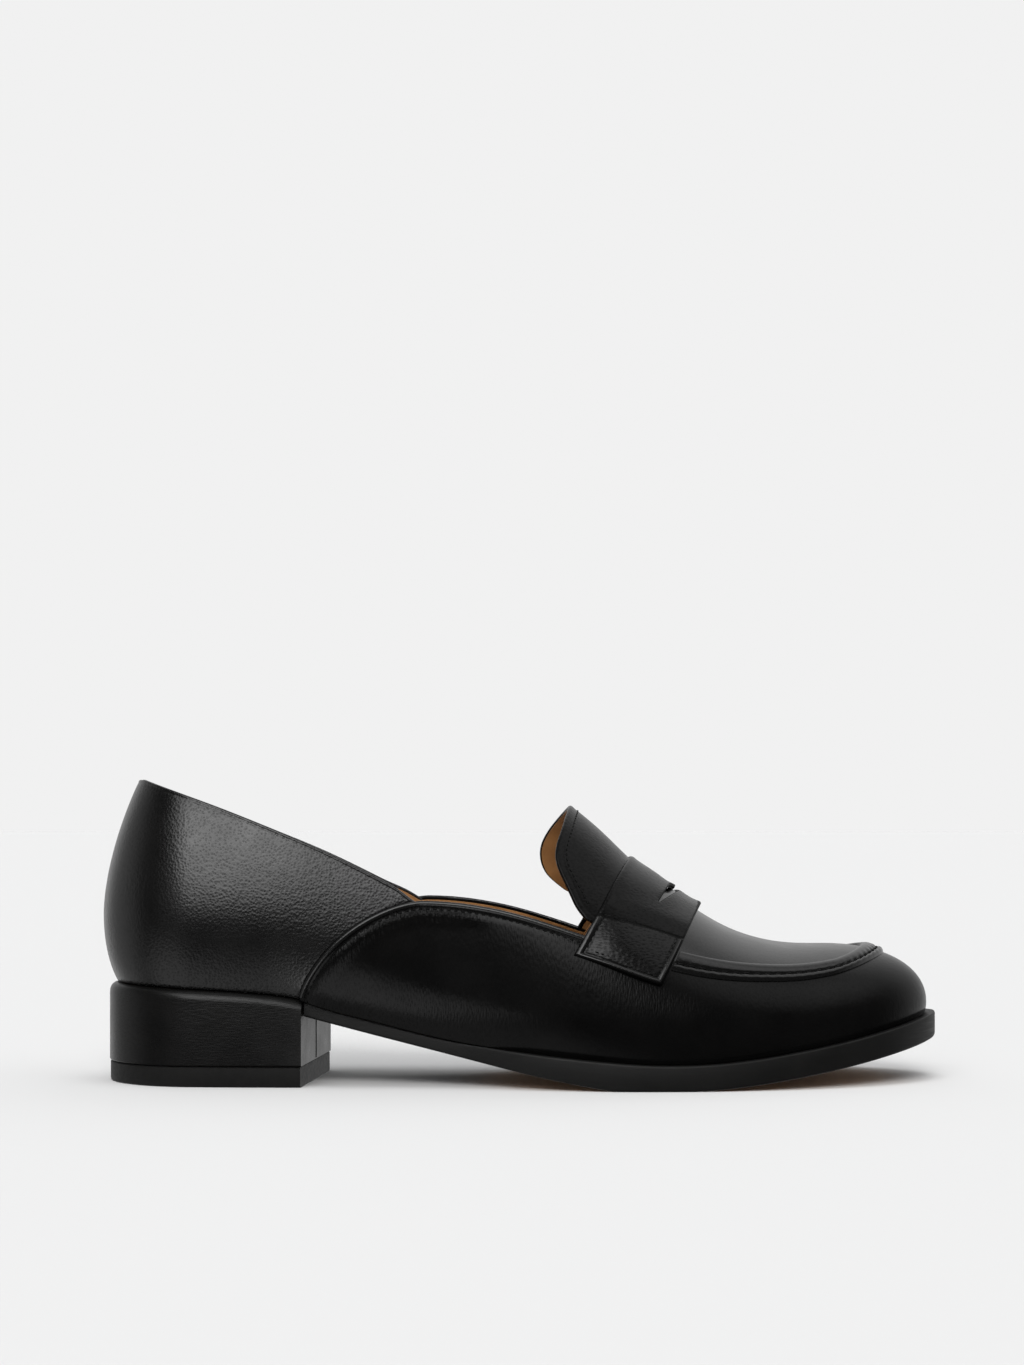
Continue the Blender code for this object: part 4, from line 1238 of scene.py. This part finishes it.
def strap_offsets(down, to_edge, to_slot, to_end, drop, front):
    """Return how far the strap's outer and inner faces stand off the last."""
    edge = np.minimum(to_edge * SLANT, to_end)
    near = np.where(slot_shape(down) > SLOT_OPEN, np.minimum(edge, to_slot * SLANT), edge)
    skive = 0 if front else hump(to_edge, STRAP_SKIVE)
    half = STRAP_THICK / 2 * (1 - skive)
    swing = half * np.sqrt(1 - np.clip(1 - near / STRAP_ROUND, 0, 1) ** 2)
    if front:
        lip = hump(to_edge, STRAP_LIP) * bump(down, 0, STRAP_LIP_REACH)
    else:
        lip = hump(to_slot, SLOT_LIP) * smooth(*SLOT_LIP_FROM, slot_shape(down))
    lift = GAP + half + lip
    patch = smooth(*PATCH_FROM, drop)
    bead = (STRAP_BEAD + PATCH_BEAD * patch) * bump(edge, STRAP_BEAD_IN, STRAP_BEAD_WIDTH)
    fold = bead - PATCH_GROOVE * patch * bump(edge, STRAP_STITCH_IN, PATCH_GROOVE_WIDTH)
    crease = hump(drop, CREASE_ROLL) - CREASE_DEPTH * bump(drop, 0, CREASE_WIDTH)
    puff = PATCH_PUFF * patch * smooth(*PATCH_PUFF_IN, edge)
    face = (fold + crease + puff) * smooth(*STRAP_FACE_IN, near)
    return lift + swing + PATCH_LIFT * patch + face, lift - swing


def strap_part(down, front):
    """Return points, faces and the faces' materials for one half of the strap, open at the slot's line."""
    ridge_x, to_edge, to_slot = strap_half(down, front)
    across = down + 0 * ridge_x
    place, level = across_instep(ridge_x, across, STRAP_END, STRAP_BOW)
    base = last_point(place, level)
    run = run_along(base)
    to_end = np.minimum(run, run[:, -1:] - run)
    reach = (across, to_edge, to_slot, to_end, above_crease(base), front)
    outer, inner = (lifted(place, level, offset) for offset in strap_offsets(*reach))
    lines, rows = outer.shape[:2]
    inside = lines * rows
    face = grid_quads(lines, rows)
    index = np.arange(inside).reshape(lines, rows)
    is_open = slot_shape(down) > 0
    slot_rim = rim_quads(index[-1], inside)[is_open[:-1] | is_open[1:]]
    rims = [rim_quads(line, inside) for line in (index[0], index[:, 0], index[:, -1])]
    rims = np.concatenate([*rims, slot_rim])
    lined = np.minimum(np.minimum(to_edge, to_slot), to_end) > STRAP_LINED_IN
    faces = np.concatenate([face, face[:, ::-1] + inside, rims])
    shades = [strap_shades(*reach)[:-1, :-1].ravel(), LINED * lined[:-1, :-1].ravel()]
    shades = np.concatenate([*shades, np.full(len(rims), DYE_AND_SHADE)])
    return np.concatenate([outer.reshape(-1, 3), inner.reshape(-1, 3)]), faces, shades


def make_strap():
    """The saddle strap: two halves that part at the slot, with rolled edges and sewn-down ends."""
    fine = np.linspace(0, STRAP_FINE_REACH, STRAP_FINE_LINES, endpoint=False)
    half = np.concatenate([fine, np.linspace(STRAP_FINE_REACH, 1, STRAP_LINES)])
    down = np.concatenate([-half[:0:-1], half])
    rear, ahead = (strap_part(down, front) for front in (False, True))
    points = np.concatenate([rear[0], ahead[0]])
    faces = np.concatenate([rear[1], ahead[1] + len(rear[0])])
    shades = np.concatenate([rear[2], ahead[2]])
    # The second material is dyed edge black that also serves as painted shade
    materials = [strap_leather, edge_dye_and_shade, tan_leather, edge_leather, patch_leather]
    add_piece("strap", points, faces, materials, "black_leather", ["saddle_strap"], shades=shades)


def strap_path(ridge_x, down, rise):
    """Return a line that stands rise above the strap's outer face, with its normals."""
    place, level = across_instep(ridge_x, down, STRAP_END, STRAP_BOW)
    return lifted(place, level, GAP + STRAP_THICK + rise), last_normal(place, level)


def crease_down(ridge_x, sign):
    """Return how far down the strap its crease lies at each place across its width."""
    down = sign * np.linspace(CREASE_FROM, 1, CREASE_STEPS)
    found = []
    for x in ridge_x:
        points = last_point(*across_instep(x + 0 * down, down, STRAP_END, STRAP_BOW))
        found.append(down[np.argmin(np.abs(above_crease(points)))])
    return np.array(found)


def make_strap_stitches():
    """Stitches round the sewn-down end of the strap on each side, and along its crease."""
    rows = []
    inset = STRAP_STITCH_IN / SLANT
    rear, ahead = STRAP_REAR + inset, STRAP_FRONT - inset
    width = np.linspace(rear, ahead, PATCH_WIDTH_POINTS)
    inner_width = width[PATCH_WIDTH_SKIPS:]
    still = np.zeros(PATCH_ROW)
    rise = PATCH_LIFT - PATCH_GROOVE + PATCH_STITCH_RISE
    skived = rise - STRAP_THICK * hump(inset, STRAP_SKIVE)
    for sign in (-1, 1):
        crease = crease_down(width, sign)
        end = sign * PATCH_STITCH_END
        rows.append(strap_path(rear + still, np.linspace(crease[0], end, PATCH_ROW), skived))
        rows.append(strap_path(inner_width, end + 0 * inner_width, rise))
        rows.append(strap_path(ahead + still, np.linspace(end, crease[-1], PATCH_ROW), rise))
        rows.append(strap_path(inner_width, crease[PATCH_WIDTH_SKIPS:], PATCH_LIFT / 2 - CREASE_DEPTH))
    add_stitches("strap_stitches", rows, STRAP_STITCH)


# Tongue and the stitches beside the vamp's edge

TONGUE_LINES = 161
TONGUE_EDGE_SHARE = 0.14
TONGUE_EDGE_ROWS = 20
TONGUE_ROWS = 44
TONGUE_LINING_ROWS = 40
TONGUE_LINING_IN = 0.4
TONGUE_LIFT = 0.1
TONGUE_STITCH_IN = 2.3
TONGUE_STITCH_REACH = 0.955
TONGUE_STITCH_RISE = 0.14
TONGUE_NARROWS = 0.012
TONGUE_EDGE_FINER = 6


def tongue_grid(down, shares, inset):
    """Return places and levels of the tongue, from its free edge to its base."""
    tip = tongue_tip(down) + inset
    ridge_x = tip + (TONGUE_BASE - tip) * shares[:, None]
    edge = np.where(down > 0, TONGUE_EDGE_MEDIAL, TONGUE_EDGE_LATERAL) + TONGUE_NARROWS * inset
    return across_instep(ridge_x, down + 0 * ridge_x, edge)


def make_tongue():
    """The tongue: black leather with a folded, stitched edge, lined with tan leather."""
    down = np.sin(np.linspace(-math.pi / 2, math.pi / 2, TONGUE_LINES))
    near = np.linspace(0, TONGUE_EDGE_SHARE, TONGUE_EDGE_ROWS, endpoint=False)
    shares = np.concatenate([near, np.linspace(TONGUE_EDGE_SHARE, 1, TONGUE_ROWS)])
    place, level = tongue_grid(down, shares, 0)
    points = last_point(place, level)
    edge = np.concatenate([points[:, 0][::-1], points[0], points[:, -1]])
    fine = np.linspace(0, len(edge) - 1, TONGUE_EDGE_FINER * len(edge))
    edge = np.stack([np.interp(fine, np.arange(len(edge)), line) for line in edge.T], axis=-1)
    distance = distance_to(points, edge)
    above, below = folded(distance) + TONGUE_LIFT, rounded(distance, FOLD_RADIUS) - LEATHER
    add_skin("tongue_face", place, level, above, below, strap_leather, "tongue")

    place, level = tongue_grid(down, np.linspace(0, 1, TONGUE_LINING_ROWS), TONGUE_LINING_IN)
    add_skin("tongue_lining", place, level, -LINING_FACE, -TONGUE_THICK, tan_leather, "tongue", "tan_lining")

    place, level = tongue_grid(TONGUE_STITCH_REACH * down, np.array([0.0]), TONGUE_STITCH_IN)
    path, normal = lifted(place, level, TONGUE_STITCH_RISE)[0], last_normal(place, level)[0]
    add_stitches("tongue_stitches", [(path, normal)], TONGUE_STITCH)


def make_edge_stitches():
    """Stitches beside the vamp's folded edge."""
    rows = [edge_path(medial, EDGE_STITCH_IN, STITCHES_ABOVE_SEAT) for medial in SIDES]
    add_stitches("vamp_stitches", rows, EDGE_STITCH)


# Sole, heel and sock; an Edge has (inset, below the top) and (inset, above the bottom) round its rim

SLAB_LINES = 260
BLUNT_END = 0.0035
SOCK_GAP = 0.03
UNDERSIDE_FACES = -0.975
SOCK_TOP_FACES = 0.3
Edge = namedtuple("Edge", "upper lower")
OUTSOLE_EDGE = Edge(
    [(1.3, 0), (0.6, 0.02), (0.25, 0.16), (0.08, 0.4), (0, 0.75)],
    [(0, 0.9), (0.1, 0.5), (0.32, 0.2), (0.8, 0.02), (1.5, 0)],
)
HEEL_EDGE = Edge(
    [(3.2, 0), (2.3, 0.1), (1.5, 0.38), (0.85, 0.85), (0.38, 1.5), (0.1, 2.3), (0, 3.2)],
    [(0, 0.35), (0.3, 0)],
)
LIFT_EDGE = Edge([(0.55, 0), (0.25, 0.3)], [(0.25, 0.8), (0.45, 0.3), (0.9, 0)])
INSOLE_EDGE = Edge([(2.2, 0), (1.0, 0.12), (0.35, 0.45), (0, 1.1)], [(0, 0)])

# The closing seam of the heel's cover: two lips that wander a little
BREAST_LIP = np.array([
    (-0.16, -0.1), (-0.14, 0.08), (-0.06, 0.15), (0.06, 0.15), (0.14, 0.08), (0.16, -0.1),
])
BREAST_SEAM_Z = (LIFT_THICK + GAP + 0.4, 20.2)
BREAST_SEAM_POINTS = 60
LIP_APART = 0.22
LIP_WANDER = 0.05
LIP_WAVES = 2.3
SEAM_WANDER = 0.10
SEAM_WAVES = 0.7


def slab(margin, top, bottom, edge):
    """Return a solid over the feather line moved out by margin(x), its rim rounded by an Edge."""
    share = (1 - np.cos(np.linspace(BLUNT_END, 1 - BLUNT_END, SLAB_LINES) * math.pi)) / 2
    outline = FEATHER + FEATHER_NORMAL * margin(FEATHER[:, 0])[:, None]
    lateral, medial = [], []
    for surface, sign, rows in ((top, -1, edge.upper), (bottom, 1, edge.lower)):
        for inset, away in rows:
            y_lateral, y_medial, x_back, x_tip = sides_of(outline - FEATHER_NORMAL * inset)
            x = x_back + (x_tip - x_back) * share
            z = surface(x) + sign * away
            lateral.append(np.stack([x, y_lateral(x), z], axis=-1))
            medial.append(np.stack([x, y_medial(x), z], axis=-1))
    ring = np.stack(lateral + medial[::-1], axis=1)
    lines, rows = ring.shape[:2]
    body = grid_quads(lines, rows)
    seam = rim_quads(np.arange(lines) * rows, rows - 1)
    step = np.arange(len(lateral) - 1)
    end = np.stack([step, step + 1, rows - 2 - step, rows - 1 - step], axis=1)
    faces = np.concatenate([body, seam, end, end[:, ::-1] + (lines - 1) * rows])
    return ring.reshape(-1, 3), faces.tolist()


def cut_at_breast(piece, ahead, keep_front):
    """Cut a piece across the heel axis, close it and keep one side."""

    def cut(mesh_data):
        result = bmesh.ops.bisect_plane(
            mesh_data,
            geom=mesh_data.verts[:] + mesh_data.edges[:] + mesh_data.faces[:],
            dist=SLIVER,
            plane_co=(HEEL_CENTRE + HEEL_AXIS * ahead - ORIGIN) * MM,
            plane_no=HEEL_AXIS,
            clear_inner=keep_front,
            clear_outer=not keep_front,
        )
        edges = [item for item in result["geom_cut"] if isinstance(item, bmesh.types.BMEdge)]
        bmesh.ops.holes_fill(mesh_data, edges=edges, sides=0)

    rework(piece.data, cut, CUT_CREASE_DEG)


def shade_faces_below(piece, slope):
    """Give the second material to the faces whose normal points up less than slope."""
    for face in piece.data.polygons:
        face.material_index = int(face.normal.z < slope)


def tread_height(x):
    """Return the height of the sole's underside along the shoe."""
    shank = np.clip((TREAD_START - x) / (TREAD_START - SHANK_START), 0, None)
    spring = np.clip((x - TREAD_END) / (TOE_END - TREAD_END), 0, None)
    return BREAST_RISE * shank**SHANK_POWER + TOE_SPRING * spring**SPRING_POWER


def level_surface(height):
    """Return a flat surface as a function of x."""
    return lambda x: height + 0 * x


def make_outsole():
    """The sole from heel breast to toe, with a black edge and a tan underside."""
    solid = slab(flange_width, seat_height, tread_height, OUTSOLE_EDGE)
    sole = add_piece("sole", *solid, [sole_black, sole_tan], "black_sole", ["outsole"])
    cut_at_breast(sole, BREAST_AHEAD + GAP, keep_front=True)
    shade_faces_below(sole, UNDERSIDE_FACES)


def make_heel():
    """The leather-covered block, its top edge padded, on a rubber lift."""
    margin = level_surface(HEEL_MARGIN)
    block = slab(margin, seat_height, level_surface(LIFT_THICK + GAP), HEEL_EDGE)
    heel = add_piece("heel_cover", *block, [heel_leather], "black_leather", ["heel"])
    cut_at_breast(heel, BREAST_AHEAD, keep_front=False)
    tread = slab(margin, level_surface(LIFT_THICK), level_surface(0.0), LIFT_EDGE)
    lift = add_piece("top_lift", *tread, [lift_rubber], "black_rubber", ["heel_top_lift"])
    cut_at_breast(lift, BREAST_AHEAD - GAP, keep_front=False)


def make_breast_seam():
    """The closing seam of the heel's cover, down the middle of its front face."""
    across = np.array([-HEEL_AXIS[1], HEEL_AXIS[0], 0])
    foot = HEEL_CENTRE + HEEL_AXIS * BREAST_AHEAD
    z = np.linspace(*BREAST_SEAM_Z, BREAST_SEAM_POINTS)
    points, faces = [], []
    for side in (-1, 1):
        apart = LIP_APART + LIP_WANDER * np.sin(z * LIP_WAVES + side)
        wander = side * apart + SEAM_WANDER * np.sin(z * SEAM_WAVES)
        path = foot + across * wander[:, None] + np.array([0, 0, 1]) * z[:, None]
        bar, bar_faces = sweep(path, HEEL_AXIS + 0 * path, BREAST_LIP)
        faces += [[i + len(points) * len(bar) for i in face] for face in bar_faces]
        points.append(bar)
    add_piece("breast_seam", np.concatenate(points), faces, [heel_leather], "black_leather")


def make_sock():
    """The tan sock on the insole; its sides and underside are black as painted shade in the slit between the
    upper and the sole.
    """

    def underside(x):
        return seat_height(x) + GAP

    def top(x):
        return underside(x) + INSOLE_THICK

    solid = slab(level_surface(-WALL - SOCK_GAP), top, underside, INSOLE_EDGE)
    sock = add_piece("sock", *solid, [tan_leather, sole_black], "tan_lining", ["insole"])
    # Black sides and underside: painted shade where the sock shows under the upper
    shade_faces_below(sock, SOCK_TOP_FACES)


# Camera, light and floor

PHOTO_HEIGHT = 1365
FOCAL_PIXELS = 2714.0
HORIZON_PIXEL = 821.3
CAMERA_PLACE = np.array([125.1, -835.0, 79.0])
CLIP_START = 0.01
CLIP_END = 50
SENSOR = 36.0
BACKGROUND = 0.879
FILL = 0.09
WHITE = (1, 1, 1, 1)

# Soft round lights in the world: where they stand, full up to one angle and gone at the other
SoftLight = namedtuple("SoftLight", "name direction inner_deg outer_deg strength")
SOFT_LIGHTS = [
    SoftLight("key_low", (-0.155, -0.878, 0.454), 4, 22, 3.5),
    SoftLight("key_high", (-0.305, -0.625, 0.719), 4, 25, 2.5),
    SoftLight("key_glow", (-0.5, -0.85, 0.26), 5, 25, 0.2),
    SoftLight("toe_key", (0.568, -0.302, 0.766), 4, 32, 0.78),
    SoftLight("overhead", (0.1, 0.15, 1.0), 20, 60, 0.32),
    SoftLight("back_key", (0.1, 0.83, 0.55), 8, 34, 0.12),
    SoftLight("backdrop", (0.35, 1.0, 0.15), 40, 80, 0.5),
    SoftLight("side_glow", (-0.906, 0.423, -0.09), 10, 50, 0.36),
    SoftLight("floor_glow", (-0.525, -0.525, -0.669), 8, 38, 0.55),
]

# Broad lamps that light the floor, and a card of light beside the waist
Lamp = namedtuple("Lamp", "name energy colour spread_deg tilt_deg")
LAMPS = [
    Lamp("top_light", 1.17, (1.0, 1.0, 1.0), 32, 6),
    Lamp("front_light", 1.5, (1.0, 0.985, 0.965), 24, 55),
]
CARD_MIDDLE = np.array([70.0, -102.0, 1.0])
CARD_LENGTH = 36.0
CARD_DEPTH = 85.0
CARD_ENERGY = 0.0141
FLOOR_HALF = 20.0
FLOOR_ROUGHNESS = 0.9
FLOOR_COLOUR = (0.62, 0.6225, 0.626, 1)


def make_camera():
    """A level camera at the photograph's place, with the frame moved up as the photograph's is."""
    data = bpy.data.cameras.new("camera")
    data.sensor_width = SENSOR
    data.lens = SENSOR * FOCAL_PIXELS / PHOTO_HEIGHT
    data.shift_y = (HORIZON_PIXEL - PHOTO_HEIGHT / 2) / PHOTO_HEIGHT
    data.clip_start = CLIP_START
    data.clip_end = CLIP_END
    camera = add_object("camera", data)
    camera.location = (CAMERA_PLACE - ORIGIN) * MM
    camera.rotation_euler = (math.pi / 2, 0, 0)
    bpy.context.scene.camera = camera


def soft_light(tree, direction, light):
    """Return the strength of one soft light in the direction that is looked at."""
    towards = unit(np.array(light.direction))
    facing = node(tree, "ShaderNodeVectorMath", direction, towards, operation="DOT_PRODUCT").outputs["Value"]
    gone, full = (math.cos(math.radians(angle)) for angle in (light.outer_deg, light.inner_deg))
    soft = node(
        tree,
        "ShaderNodeMapRange",
        interpolation_type="SMOOTHSTEP",
        Value=facing,
        From_Min=gone,
        From_Max=full,
        To_Max=light.strength,
    )
    return soft.outputs["Result"]


def make_light():
    """A studio of soft lights in the world, which is plain pale grey to the camera."""
    world = bpy.data.worlds.new("studio")
    bpy.context.scene.world = world
    world.use_nodes = True
    tree = world.node_tree
    tree.nodes.clear()
    direction = node(tree, "ShaderNodeTexCoord").outputs["Generated"]
    total = FILL
    for light in SOFT_LIGHTS:
        one = soft_light(tree, direction, light)
        total = node(tree, "ShaderNodeMath", one, total, operation="ADD").outputs["Value"]
    studio = node(tree, "ShaderNodeBackground", Strength=total, Color=WHITE).outputs["Background"]
    pale = (BACKGROUND, BACKGROUND, BACKGROUND, 1)
    plain = node(tree, "ShaderNodeBackground", Color=pale).outputs["Background"]
    seen = node(tree, "ShaderNodeLightPath").outputs["Is Camera Ray"]
    mix = node(tree, "ShaderNodeMixShader", seen, studio, plain).outputs["Shader"]
    node(tree, "ShaderNodeOutputWorld", mix)
    bpy.context.scene.view_settings.view_transform = "Standard"


def make_lamps():
    """Broad lamps above and low in front, which light the floor and soften the shadow on it."""
    for lamp in LAMPS:
        data = bpy.data.lights.new(lamp.name, "SUN")
        data.energy = lamp.energy
        data.color = lamp.colour
        data.angle = math.radians(lamp.spread_deg)
        made = add_object(lamp.name, data)
        made.rotation_euler = (math.radians(lamp.tilt_deg), 0, 0)
        made.location = (0, 0, 1)
        made.visible_glossy = False


def make_card():
    """A card of light low beside the waist, which only shows as a sheen on the leather."""
    data = bpy.data.lights.new("waist_card", "AREA")
    data.shape = "RECTANGLE"
    data.size = CARD_LENGTH * MM
    data.size_y = CARD_DEPTH * MM
    data.energy = CARD_ENERGY
    card = add_object("waist_card", data)
    card.location = (CARD_MIDDLE - ORIGIN) * MM
    card.rotation_euler = (math.pi, 0, 0)
    card.visible_camera = False
    card.visible_diffuse = False


def make_floor():
    """A plain pale floor."""
    corners = [(x * FLOOR_HALF, y * FLOOR_HALF, 0) for x, y in ((-1, -1), (1, -1), (1, 1), (-1, 1))]
    mesh = bpy.data.meshes.new("floor")
    mesh.from_pydata(corners, [], [(0, 1, 2, 3)])
    floor = add_object("floor", mesh)
    material, _ = new_material("floor")
    painted(material, Roughness=FLOOR_ROUGHNESS, Base_Color=FLOOR_COLOUR, Specular_IOR_Level=0.0)
    mesh.materials.append(material)
    floor.visible_glossy = False


make_quarter()
make_vamp()
make_apron()
make_lining()
make_vamp_edges()
make_apron_seam()
make_strap()
make_strap_stitches()
make_tongue()
make_edge_stitches()
make_outsole()
make_heel()
make_breast_seam()
make_sock()
make_camera()
make_light()
make_lamps()
make_card()
make_floor()
